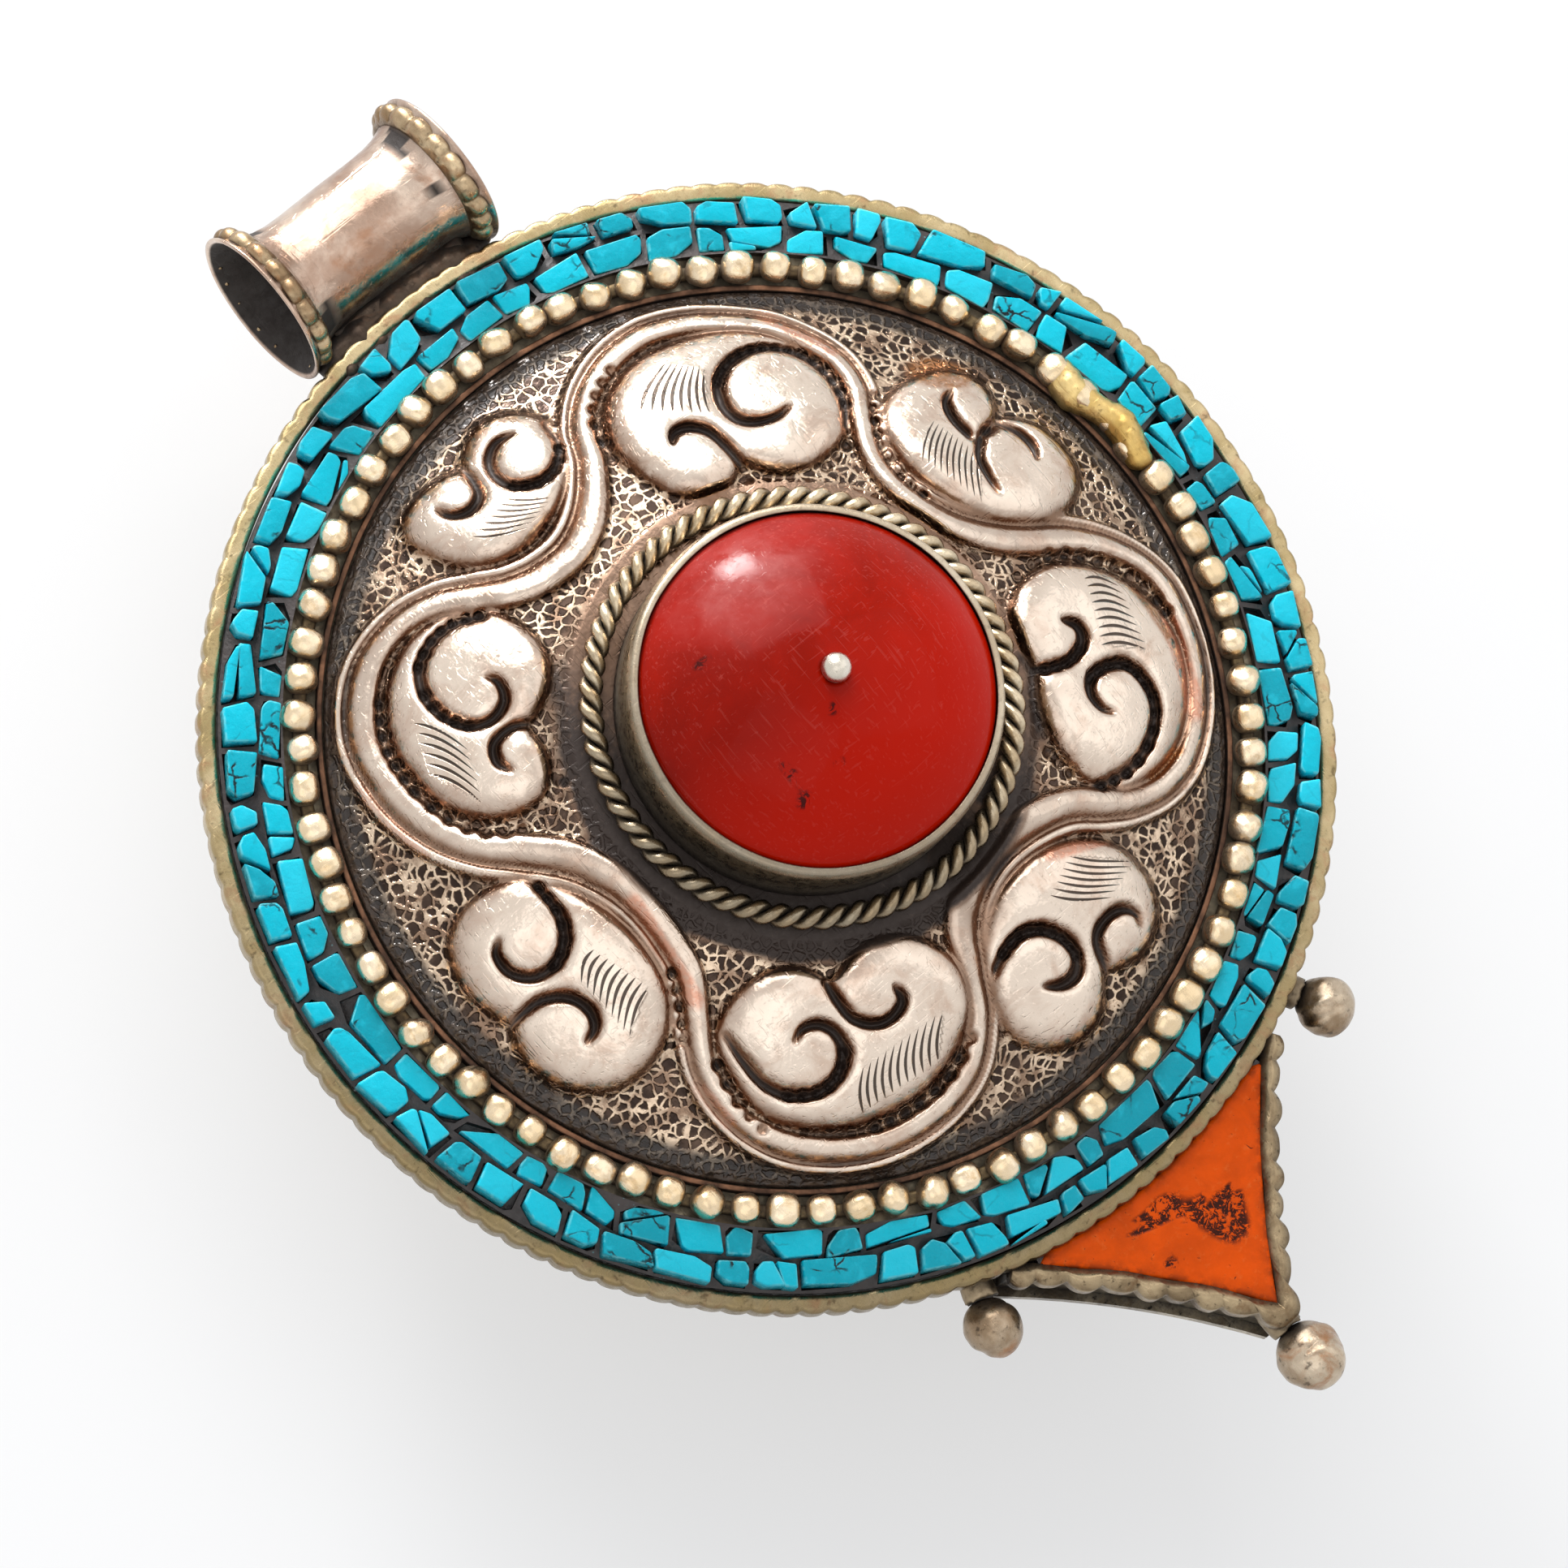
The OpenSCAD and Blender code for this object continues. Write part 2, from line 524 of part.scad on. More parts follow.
module bail_tube() {
    throat_r = bail_bore_r + (mouth_r - bail_bore_r) * 0.35;
    throat = bail_half - flare_len * 0.4;
    color("lightgray") along_bail() rotate_extrude($fn = 96) polygon(concat(
        [[bail_bore_r, flare_len - bail_half], [bail_bore_r, bail_half - flare_len],
         [throat_r, throat], [mouth_r, bail_half]],
        bail_outside, [[mouth_r, -bail_half], [throat_r, -throat]]));
}
collar_notch_r = PI * (collar_seat_r + collar_bead_d * 0.9) / collar_beads / 2.6;
module bail_collar(way) {
    w = collar_bead_d / 2;
    crest_r = collar_seat_r + collar_bead_d * 0.9;
    color("darkkhaki") along_bail() translate([0, 0, way * collar_mid]) difference() {
        rotate_extrude($fn = 96) polygon([
            [collar_seat_r, -w], [collar_seat_r + w * 0.9, -w], [crest_r, -w * 0.35],
            [crest_r, w * 0.35], [collar_seat_r + w * 0.9, w], [collar_seat_r, w]]);
        for (i = [0:collar_beads - 1]) rotate(360 * (i + 0.5) / collar_beads)
            translate([crest_r + collar_notch_r * 0.35, 0, 0])
                cylinder(r = collar_notch_r, h = collar_bead_d + 2 * over, center = true, $fn = 20);
    }
}
module bail_collar_left() { bail_collar(-1); }
module bail_collar_right() { bail_collar(1); }

// Saddle: the solder that joins the waist of the bail to the edge of the case
saddle_w = 2 * (seat_in - saddle_gap);
saddle_low = wall_top - 0.35 * case_h;
saddle_high = rim_top - 0.2 * rim_h;
module bail_saddle() {
    turn = 180 * saddle_w / PI / rim_r;
    lean = 180 * bail_shift / PI / rim_r;
    color("gray") difference() {
        rotate_extrude(angle = turn, start = 90 - lean - turn / 2, $fn = 180) polygon([
            [case_r, saddle_low], [bail_y, saddle_low], [bail_y, saddle_high],
            [rim_r, saddle_high], [rim_r, wall_top], [case_r, wall_top]]);
        along_bail() rotate_extrude($fn = 96)
            polygon(concat([[0, bail_half]], bail_outside, [[0, -bail_half]]));
    }
}

// Drop: its side arcs bulge in. Grown outlines share the arcs' centres
module turned_drop() { rotate(drop_turn) children(); }
drop_foot_r = rim_r + chip_joint;
drop_tip_r = drop_foot_r + drop_len;
drop_corner = on_circle(drop_foot_r, drop_half_turn - 90);
drop_tip = [0, -drop_tip_r];
drop_side = drop_tip - drop_corner;
side_arc_r = (norm(drop_side) * norm(drop_side) / 4 + drop_hollow * drop_hollow) / (2 * drop_hollow);
side_out = unit([-drop_side[1], drop_side[0]]) * (drop_side[1] < 0 ? 1 : -1);
side_centre = (drop_corner + drop_tip) / 2 + side_out * (side_arc_r - drop_hollow);
drop_grow = drop_strip_t + drop_wire_w;
module drop_outline(grow, foot_r) {
    reach = drop_tip_r + grow;
    half_w = drop_corner[0] + 2 * drop_grow;
    difference() {
        intersection() {
            circle(r = reach, $fn = 180);
            translate([-half_w, -reach]) square([2 * half_w, reach]);
            polygon([[0, 0], 2 * on_circle(reach, 270 - drop_half_turn - grow_turn(grow)),
                     2 * on_circle(reach, 270 + drop_half_turn + grow_turn(grow))]);
        }
        for (way = [-1, 1]) translate([way * side_centre[0], side_centre[1]])
            circle(r = side_arc_r - grow, $fn = 180);
        circle(r = foot_r, $fn = 180);
    }
}
function grow_turn(grow) = 2 * 180 * grow / PI / drop_foot_r;
module drop_layer(low, high) {
    turned_drop() translate([0, 0, low]) linear_extrude(high - low) children();
}
drop_floor = drop_z + drop_plate_t;
coral_floor = drop_front_z - drop_coral_t;
module drop_plate() {
    color("tan") drop_layer(drop_z, drop_floor) drop_outline(drop_grow, case_r);
}
module drop_strip() {
    color("tan") difference() {
        union() {
            drop_layer(drop_floor, wall_top) drop_outline(drop_strip_t, case_r);
            drop_layer(wall_top, drop_front_z) drop_outline(drop_strip_t, rim_r);
        }
        drop_layer(drop_floor - over, drop_front_z + over) drop_outline(0, case_r - over);
    }
}
module drop_cement() {
    color("dimgray") {
        drop_layer(drop_floor, coral_floor) drop_outline(0, case_r);
        drop_layer(coral_floor, wall_top) drop_joint(case_r);
        drop_layer(wall_top, drop_front_z - mosaic_drop) drop_joint(rim_r);
    }
}
module drop_joint(foot_r) {
    difference() {
        drop_outline(0, foot_r);
        drop_outline(drop_strip_t, drop_foot_r);
    }
}
module drop_coral() {
    color("orangered") drop_layer(coral_floor, drop_front_z) drop_outline(0, drop_foot_r);
}

// Edge wire of the drop: a low wire outside the strip, notched along its edge
side_notch_r = norm(drop_side) / drop_notches / 4;
module drop_edge_wire() {
    from = atan2(drop_corner[1] - side_centre[1], drop_corner[0] - side_centre[0]);
    to = atan2(drop_tip[1] - side_centre[1], drop_tip[0] - side_centre[0]);
    notch_line = side_arc_r - drop_grow + notch_depth - side_notch_r;
    color("darkkhaki") drop_layer(drop_front_z - drop_wire_h, drop_front_z) difference() {
        drop_outline(drop_grow, rim_r);
        drop_outline(drop_strip_t, case_r);
        for (way = [-1, 1], i = [0:drop_notches - 1])
            translate([way * side_centre[0], side_centre[1]])
                mirror([way < 0 ? 1 : 0, 0]) rotate(from + (to - from) * (i + 0.5) / drop_notches)
                    translate([notch_line, 0]) circle(r = side_notch_r, $fn = 24);
    }
}

// Finials: three balls, each on a short peg
finial_z = (drop_z + drop_front_z) / 2 + peg_d / 6;
shoulder_r = rim_r + shoulder_gap + shoulder_d / 2;
tip_ball_r = drop_tip_r + drop_grow + tip_gap + tip_d / 2;
module at_ball(turn, r) {
    rotate(drop_turn + turn - 90) translate([r, 0, finial_z]) children();
}
function shoulder_at(way) = shoulder_lean + way * shoulder_turn;
module shoulder_finial(way) {
    color("goldenrod") at_ball(shoulder_at(way), shoulder_r) sphere(d = shoulder_d, $fn = 32);
}
module shoulder_finial_left() { shoulder_finial(-1); }
module shoulder_finial_right() { shoulder_finial(1); }
module tip_finial() {
    color("goldenrod") at_ball(0, tip_ball_r) sphere(d = tip_d, $fn = 32);
}
module peg(turn, ball_r, ball_d, start_r) {
    difference() {
        at_ball(turn, start_r) rotate([0, 90, 0]) cylinder(d = peg_d, h = ball_r - start_r, $fn = 32);
        at_ball(turn, ball_r) sphere(d = ball_d, $fn = 32);
    }
}
module finial_pegs() {
    color("gray") difference() {
        union() {
            for (way = [-1, 1]) peg(shoulder_at(way), shoulder_r, shoulder_d, case_r - case_t);
            peg(0, tip_ball_r, tip_d, drop_tip_r);
        }
        cylinder(r = case_r, h = wall_top, $fn = 180);
        translate([0, 0, wall_top]) cylinder(r = rim_r, h = rim_h, $fn = 180);
        drop_layer(0, drop_front_z) drop_outline(drop_strip_t, case_r);
        drop_layer(drop_front_z - drop_wire_h, drop_front_z) drop_outline(drop_grow, case_r);
        drop_layer(0, drop_floor) drop_outline(drop_grow, case_r);
    }
}

// Back cover: a flat plate, and a flange that slides inside the case wall
module lid_plate() {
    color("tan") cylinder(r = case_r, h = lid_t, $fn = 180);
}
module lid_flange() {
    flange_r = case_r - case_t - lid_fit;
    color("tan") ring(flange_r, flange_r - flange_t, lid_t, lid_t + flange_h);
}

case_wall();
channel_plate();
rim_wire();
mosaic_bed();
turquoise_chips();
bead_ring();
copper_strip();
scroll_plate();
twisted_wire();
bezel_wall();
coral_packing();
coral_cabochon();
centre_pin();
bail_tube();
bail_collar_left();
bail_collar_right();
bail_saddle();
drop_plate();
drop_strip();
drop_edge_wire();
drop_cement();
drop_coral();
shoulder_finial_left();
shoulder_finial_right();
tip_finial();
finial_pegs();
lid_plate();
lid_flange();
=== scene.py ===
import math

import bmesh
import bpy
import numpy as np
from bpy.props import FloatProperty, FloatVectorProperty, IntProperty, PointerProperty
from mathutils import Matrix, Vector


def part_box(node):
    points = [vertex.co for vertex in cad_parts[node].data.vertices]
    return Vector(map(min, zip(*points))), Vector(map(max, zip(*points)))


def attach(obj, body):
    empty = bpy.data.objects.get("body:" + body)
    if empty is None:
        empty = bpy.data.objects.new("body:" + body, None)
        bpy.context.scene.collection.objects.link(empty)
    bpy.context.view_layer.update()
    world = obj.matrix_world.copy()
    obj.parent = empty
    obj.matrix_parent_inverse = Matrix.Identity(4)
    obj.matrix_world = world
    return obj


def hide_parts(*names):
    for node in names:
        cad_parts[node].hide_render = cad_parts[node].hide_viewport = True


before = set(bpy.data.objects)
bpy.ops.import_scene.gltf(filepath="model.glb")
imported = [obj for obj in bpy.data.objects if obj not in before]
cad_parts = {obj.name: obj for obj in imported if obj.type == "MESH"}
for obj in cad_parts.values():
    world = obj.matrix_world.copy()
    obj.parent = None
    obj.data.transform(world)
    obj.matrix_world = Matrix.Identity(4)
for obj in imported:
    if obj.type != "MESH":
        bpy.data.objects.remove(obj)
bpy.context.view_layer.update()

bl_info = {
    "name": "Ghau Amulet Box Pendant",
    "version": (1, 0, 0),
    "blender": (4, 5, 0),
    "location": "View3D > Sidebar > Ghau",
    "description": "Dresses the CAD frame of a ghau amulet box with its stones, wires and repousse plate",
    "category": "Object",
}

MM = 0.001


def srgb(red, green, blue):
    """A screen colour from 0 to 255 as the linear colour that a shader socket holds."""
    return tuple((c / 255 / 12.92) if c < 11 else ((c / 255 + 0.055) / 1.055) ** 2.4
                 for c in (red, green, blue))


def shaded(colour, share, more=0.0):
    """The colour made darker or lighter by a share, and never lighter than white."""
    return tuple(min(1.0, c * share + more) for c in colour)


# Sizes and colours

class GhauPlate(bpy.types.PropertyGroup):
    relief: FloatProperty(name="Relief",
                          description="Height of the beaten scrolls over the dome, against the first one",
                          default=1.0, min=0.4, max=1.3, subtype="FACTOR")
    stem_share: FloatProperty(name="Stem Width",
                              description="Width of the running stem, against the first one",
                              default=1.0, min=0.6, max=1.3, subtype="FACTOR")
    # Ridges take this colour as rubbed wear and a painted highlight.
    silver: FloatVectorProperty(name="Silver", description="Colour of the polished silver ridges",
                                default=srgb(232, 216, 200), subtype="COLOR", min=0, max=1)
    # The darkest hollows also take this colour as painted shade.
    shade: FloatVectorProperty(name="Patina", description="Colour of the patina in the hollows",
                               default=srgb(58, 44, 37), subtype="COLOR", min=0, max=1)


class GhauBorder(bpy.types.PropertyGroup):
    rim_notches: IntProperty(name="Rim Notches", description="Notches pressed round the edge of the rim wire",
                             default=138, min=30, max=180)
    notch_depth: FloatProperty(name="Notch Depth", description="Depth of each notch",
                               default=0.18 * MM, min=0.0, max=0.0005, unit="LENGTH")
    bead_count: IntProperty(name="Beads", description="Beads in the ring inside the mosaic", default=80,
                            min=40, max=110)
    bead_diameter: FloatProperty(name="Bead Diameter", description="Diameter of one bead",
                                 default=1.68 * MM, min=0.001, max=0.0019, unit="LENGTH")
    unevenness: FloatProperty(name="Unevenness", description="How much the beads differ from one another",
                              default=0.11, min=0, max=0.2, subtype="FACTOR")
    turquoise: FloatVectorProperty(name="Turquoise", description="Colour of the mosaic chips",
                                   default=srgb(0, 188, 211), subtype="COLOR", min=0, max=1)
    resin: FloatVectorProperty(name="Resin", description="Colour of the resin between the chips",
                               default=srgb(56, 46, 44), subtype="COLOR", min=0, max=1)


class GhauStone(bpy.types.PropertyGroup):
    coral: FloatVectorProperty(name="Coral", description="Colour of the round coral",
                               default=srgb(140, 17, 3),
                               subtype="COLOR", min=0, max=1)
    orange_coral: FloatVectorProperty(name="Drop Coral", description="Colour of the coral in the drop",
                                      default=srgb(228, 82, 0), subtype="COLOR", min=0, max=1)
    rope_turns: IntProperty(name="Rope Turns", description="Full turns of the twisted wire round the coral",
                            default=33, min=16, max=50)


class GhauStage(bpy.types.PropertyGroup):
    lens: FloatProperty(name="Lens", description="Focal length of the camera, in millimetres", default=204.6,
                        min=50, max=400)
    daylight: FloatProperty(name="Daylight", description="Power of the large soft lamp, in watts",
                            default=1.5, min=0, max=10)
    floor: FloatVectorProperty(name="Floor", description="Colour of the floor", default=(0.86, 0.86, 0.865),
                               subtype="COLOR", min=0, max=1)


# Node helpers

class Wires:
    """Adds nodes to a shader or geometry tree. A value for an input is a socket to link or a plain value."""

    def __init__(self, tree):
        self.tree = tree

    def add(self, kind, inputs=None, **settings):
        """A new node with its inputs and settings."""
        node = self.tree.nodes.new(kind)
        for key, value in settings.items():
            setattr(node, key, value)
        for key, value in (inputs or {}).items():
            socket = node.inputs[key]
            if isinstance(value, bpy.types.NodeSocket):
                self.tree.links.new(value, socket)
            else:
                wide = hasattr(socket.default_value, "__len__") and len(socket.default_value) == 4
                socket.default_value = (*value, 1.0) if wide and len(value) == 3 else value
        return node

    def got(self, kind, inputs=None, **settings):
        """The first output of a new node."""
        return self.add(kind, inputs, **settings).outputs[0]

    def math(self, operation, a, b=None, c=None, clamp=False):
        inputs = {i: v for i, v in enumerate((a, b, c)) if v is not None}
        return self.got("ShaderNodeMath", inputs, operation=operation, use_clamp=clamp)

    def times(self, a, b, clamp=False):
        """One value times the other."""
        return self.math("MULTIPLY", a, b, clamp=clamp)

    def plus(self, a, b, clamp=False):
        """One value and the other together."""
        return self.math("ADD", a, b, clamp=clamp)

    def most(self, first, *others):
        """The largest of the values."""
        for other in others:
            first = self.math("MAXIMUM", first, other)
        return first

    def vector(self, x=0.0, y=0.0, z=0.0):
        return self.got("ShaderNodeCombineXYZ", {0: x, 1: y, 2: z})

    def scaled(self, vector, by):
        return self.got("ShaderNodeVectorMath", {0: vector, 3: by}, operation="SCALE")

    def along(self, vector, way):
        """How far a vector reaches along a way."""
        return self.add("ShaderNodeVectorMath", {0: vector, 1: way}, operation="DOT_PRODUCT").outputs["Value"]

    def drawn(self, low, high, seed):
        """A random value, or a random vector between two vectors, that the seed fixes."""
        if hasattr(low, "__len__"):
            return self.got("FunctionNodeRandomValue", {0: low, 1: high, "Seed": seed},
                            data_type="FLOAT_VECTOR")
        return self.add("FunctionNodeRandomValue", {2: low, 3: high, "Seed": seed},
                        data_type="FLOAT").outputs[1]

    def seen_rays(self):
        """1 for the rays that show a plain white background: straight, mirrored or through glass."""
        path = self.add("ShaderNodeLightPath").outputs
        return self.most(*(path["Is %s Ray" % kind] for kind in ("Camera", "Glossy", "Transmission")))

    def span(self, value, low, high, to_low=0.0, to_high=1.0):
        """Value between low and high as a share between to_low and to_high, smooth at both ends."""
        return self.add("ShaderNodeMapRange", {"Value": value, "From Min": low, "From Max": high,
                                               "To Min": to_low, "To Max": to_high},
                        interpolation_type="SMOOTHSTEP").outputs["Result"]

    def blend(self, factor, a, b):
        """Colour a where the factor is 0 and colour b where it is 1."""
        node = self.add("ShaderNodeMix", data_type="RGBA", blend_type="MIX")
        for socket, value in ((node.inputs[0], factor), (node.inputs[6], a), (node.inputs[7], b)):
            if isinstance(value, bpy.types.NodeSocket):
                self.tree.links.new(value, socket)
            elif hasattr(value, "__len__"):
                socket.default_value = (*value[:3], 1.0)
            else:
                socket.default_value = value
        return node.outputs[2]


class Finish(Wires):
    """One procedural material on Object coordinates, in millimetres."""

    def __init__(self, name):
        self.material = bpy.data.materials.new(name)
        self.material.use_nodes = True
        tree = self.material.node_tree
        tree.nodes.clear()
        super().__init__(tree)
        self.shader = self.add("ShaderNodeBsdfPrincipled")
        out = self.add("ShaderNodeOutputMaterial")
        tree.links.new(self.shader.outputs[0], out.inputs[0])
        place = self.add("ShaderNodeTexCoord")
        self.mm = self.got("ShaderNodeMapping",
                           {"Vector": place.outputs["Object"], "Scale": (1000, 1000, 1000)})

    def noise(self, size, detail=4, rough=0.55, distort=0.0, stretch=None, turn=0.0):
        """Noise whose grain is about size millimetres, drawn out along stretch."""
        at = self.mm
        if stretch:
            at = self.got("ShaderNodeMapping", {"Vector": at, "Scale": stretch, "Rotation": (0, 0, turn)})
        return self.got("ShaderNodeTexNoise",
                        {"Vector": at, "Scale": 1 / size, "Detail": detail, "Roughness": rough,
                         "Distortion": distort})

    def shifted(self, share, scale, detail):
        """Object coordinates pulled about by noise, so that cells read there have bent edges."""
        drift = self.add("ShaderNodeTexNoise",
                         {"Vector": self.mm, "Scale": scale, "Detail": detail}).outputs[1]
        return self.add("ShaderNodeMix", {0: share, 4: self.mm, 5: drift}, data_type="VECTOR").outputs[1]

    def cells(self, size, feature="DISTANCE_TO_EDGE", at=None):
        """Cells about size millimetres wide, as the distance to their edges or their middles."""
        return self.got("ShaderNodeTexVoronoi",
                        {"Vector": at or self.mm, "Scale": 1 / size, "Randomness": 1.0},
                        feature=feature)

    def attribute(self, name):
        """A number that each point of the mesh holds."""
        return self.add("ShaderNodeAttribute", attribute_name=name).outputs["Fac"]

    def crevice(self, reach, power=1.0):
        """1 deep between neighbours and 0 in the open."""
        near = self.add("ShaderNodeAmbientOcclusion", {"Distance": reach * MM}, samples=6)
        return self.math("POWER", self.math("SUBTRACT", 1.0, near.outputs["AO"]), power)

    def scratches(self, size=0.35, length=14):
        """Fine crossing scratches as a height."""
        one = self.noise(size, 2, 0.5, 0.3, (1, 1 / length, 1), 0.4)
        two = self.noise(size, 2, 0.5, 0.3, (1 / length, 1, 1), -0.5)
        return self.plus(self.span(one, 0.6, 0.68), self.span(two, 0.62, 0.7))

    def give(self, colour, rough, metallic, height=None, strength=0.4, depth=0.1):
        """The finished material. Depth is the bump's height in millimetres."""
        for name, value in (("Base Color", colour), ("Roughness", rough), ("Metallic", metallic)):
            if isinstance(value, bpy.types.NodeSocket):
                self.tree.links.new(value, self.shader.inputs[name])
            else:
                self.shader.inputs[name].default_value = (*value, 1.0) if hasattr(value, "__len__") else value
        if height is not None:
            bump = self.got("ShaderNodeBump",
                            {"Height": height, "Strength": strength, "Distance": depth * MM})
            self.tree.links.new(bump, self.shader.inputs["Normal"])
        return self.material


def new_tree(name, sockets):
    """A geometry tree with named inputs, and its group input node and wires."""
    tree = bpy.data.node_groups.new(name, "GeometryNodeTree")
    tree.interface.new_socket("Geometry", in_out="INPUT", socket_type="NodeSocketGeometry")
    for label, kind in sockets:
        tree.interface.new_socket(label, in_out="INPUT", socket_type="NodeSocket" + kind)
    tree.interface.new_socket("Geometry", in_out="OUTPUT", socket_type="NodeSocketGeometry")
    wires = Wires(tree)
    return wires, wires.add("NodeGroupInput").outputs


def close_tree(wires, geometry, material):
    """Ends a tree in Realize Instances and Set Material."""
    real = wires.got("GeometryNodeRealizeInstances", {"Geometry": geometry})
    smooth = wires.got("GeometryNodeSetShadeSmooth", {"Geometry": real})
    painted = wires.got("GeometryNodeSetMaterial", {"Geometry": smooth, "Material": material})
    wires.add("NodeGroupOutput", {"Geometry": painted})
    return wires.tree


def grown(name, tree, values, start=None):
    """A plain mesh object made by a geometry tree from a start object, or from nothing."""
    holder = start or link(bpy.data.objects.new(name, bpy.data.meshes.new(name)))
    modifier = holder.modifiers.new("grow", "NODES")
    modifier.node_group = tree
    for item in tree.interface.items_tree:
        if item.in_out == "INPUT" and item.name in values:
            modifier[item.identifier] = values[item.name]
    return plain(holder)


def plain(holder):
    """The object with its modifiers taken into its mesh."""
    bpy.context.view_layer.update()
    seen = holder.evaluated_get(bpy.context.evaluated_depsgraph_get())
    mesh = bpy.data.meshes.new_from_object(seen)
    holder.modifiers.clear()
    holder.data = mesh
    return holder


# Mesh helpers

def link(holder):
    """Puts an object in the scene."""
    bpy.context.scene.collection.objects.link(holder)
    return holder


def merged(mesh, reach, tidy=0.0):
    """Joins points closer than reach and turns the faces outwards. Faces flatter than tidy dissolve."""
    bm = bmesh.new()
    bm.from_mesh(mesh)
    bmesh.ops.remove_doubles(bm, verts=bm.verts, dist=reach)
    if tidy:
        bmesh.ops.dissolve_limit(bm, angle_limit=tidy, verts=bm.verts, edges=bm.edges)
    bmesh.ops.recalc_face_normals(bm, faces=bm.faces)
    bm.to_mesh(mesh)
    bm.free()


def mark(mesh, name, values):
    """A number for each point of a mesh, which its material reads as an attribute."""
    mesh.attributes.new(name, "FLOAT", "POINT").data.foreach_set("value", np.asarray(values, np.float32))


def smudges(at, spots):
    """Soft round marks on points, from (x, y, half width, half height) of each."""
    return sum(np.exp(-(((at[:, 0] - x) / wide) ** 2 + ((at[:, 1] - y) / tall) ** 2))
               for x, y, wide, tall in spots)


def bands(rows, n, start=0, closed=False):
    """Faces between rows of n points, each row a loop. Closed joins the last row to the first."""
    return [(start + i * n + j, start + i * n + (j + 1) % n,
             start + (i + 1) % rows * n + (j + 1) % n, start + (i + 1) % rows * n + j)
            for i in range(rows if closed else rows - 1) for j in range(n)]


def mesh_piece(name, points, faces, smooth=True, values=None):
    """An object from points in millimetres, with its faces turned outwards."""
    mesh = bpy.data.meshes.new(name)
    mesh.from_pydata((np.asarray(points, float) * MM).tolist(), [], [list(map(int, f)) for f in faces])
    for key, value in (values or {}).items():
        mark(mesh, key, value)
    merged(mesh, 1e-7)
    mesh.polygons.foreach_set("use_smooth", [smooth] * len(mesh.polygons))
    mesh.update()
    return link(bpy.data.objects.new(name, mesh))


def softened(corners, radius, steps=3):
    """A closed outline with every corner rounded off by steps points."""
    points, count = [], len(corners)
    for i, corner in enumerate(corners):
        here, before, after = (np.array(c, float) for c in (corner, corners[i - 1], corners[(i + 1) % count]))
        reach_in, reach_out = np.linalg.norm(before - here), np.linalg.norm(after - here)
        cut = min(radius, 0.45 * reach_in, 0.45 * reach_out)
        start, end = here + (before - here) / reach_in * cut, here + (after - here) / reach_out * cut
        for k in range(steps + 1):
            t = k / steps
            points.append((1 - t) ** 2 * start + 2 * t * (1 - t) * here + t * t * end)
    return np.array(points)


def lathe(name, profile, turns=192, wobble=None):
    """A closed profile of (radius, height) turned round the upright axis. Wobble moves it by angle."""
    profile = np.asarray(profile, float)
    angle = np.arange(turns) * 2 * math.pi / turns
    radius = np.repeat(profile[None, :, 0], turns, 0)
    height = np.repeat(profile[None, :, 1], turns, 0)
    if wobble:
        move_r, move_z = wobble(angle[:, None], radius, height)
        radius, height = radius + move_r, height + move_z
    across, along = radius * np.cos(angle)[:, None], radius * np.sin(angle)[:, None]
    points = np.stack([across, along, height], -1).reshape(-1, 3)
    return mesh_piece(name, points, bands(turns, len(profile), closed=True))


def section(inner, outer, low, high):
    """The corners of a flat ring's section."""
    return [(inner, low), (outer, low), (outer, high), (inner, high)]


def ball_profile(radius, height, steps=24):
    """Half a circle from the bottom pole to the top one, closed on the axis."""
    turn = np.linspace(-math.pi / 2, math.pi / 2, steps)
    return np.stack([np.maximum(radius * np.cos(turn), 0), height + radius * np.sin(turn)], -1)


def waves(angle, seed, low, high):
    """A smooth closed wobble between -1 and 1 from a few whole waves."""
    draw = np.random.default_rng(seed)
    parts = [draw.uniform(0.4, 1) * np.sin(k * angle + draw.uniform(0, 6.3)) / math.sqrt(k / low)
             for k in range(low, high)]
    return sum(parts) / max(1.0, math.sqrt(high - low) * 1.4)


def cad_copy(node, name, tidy=0.0):
    """A merged copy of a CAD node's mesh as a new object, tidied as merged says."""
    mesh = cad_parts[node].data.copy()
    mesh.name = name
    merged(mesh, 1e-6, tidy)
    mesh.materials.clear()
    return link(bpy.data.objects.new(name, mesh))


# Waves that dent a lump of solder
DENT_WAVES = 7


def melted(piece, voxel, relax, lump, seed):
    """A solid turned into a soft lump of solder: remeshed, relaxed and dented."""
    remesh = piece.modifiers.new("remesh", "REMESH")
    remesh.mode, remesh.voxel_size = "VOXEL", voxel * MM
    smooth = piece.modifiers.new("relax", "SMOOTH")
    smooth.factor, smooth.iterations = 0.5, relax
    plain(piece)
    count = len(piece.data.vertices)
    at, normal = np.zeros(count * 3, np.float32), np.zeros(count * 3, np.float32)
    piece.data.vertices.foreach_get("co", at)
    piece.data.vertices.foreach_get("normal", normal)
    at, normal = at.reshape(-1, 3), normal.reshape(-1, 3)
    draw = np.random.default_rng(seed)
    dent = np.zeros(count)
    for _ in range(DENT_WAVES):
        wave = draw.normal(size=3) * 1.5 / MM
        dent += np.sin(at @ wave + draw.uniform(0, 6.3))
    at += normal * (lump * MM * dent / DENT_WAVES)[:, None]
    piece.data.vertices.foreach_set("co", at.ravel())
    piece.data.polygons.foreach_set("use_smooth", [True] * len(piece.data.polygons))
    piece.data.update()
    return piece


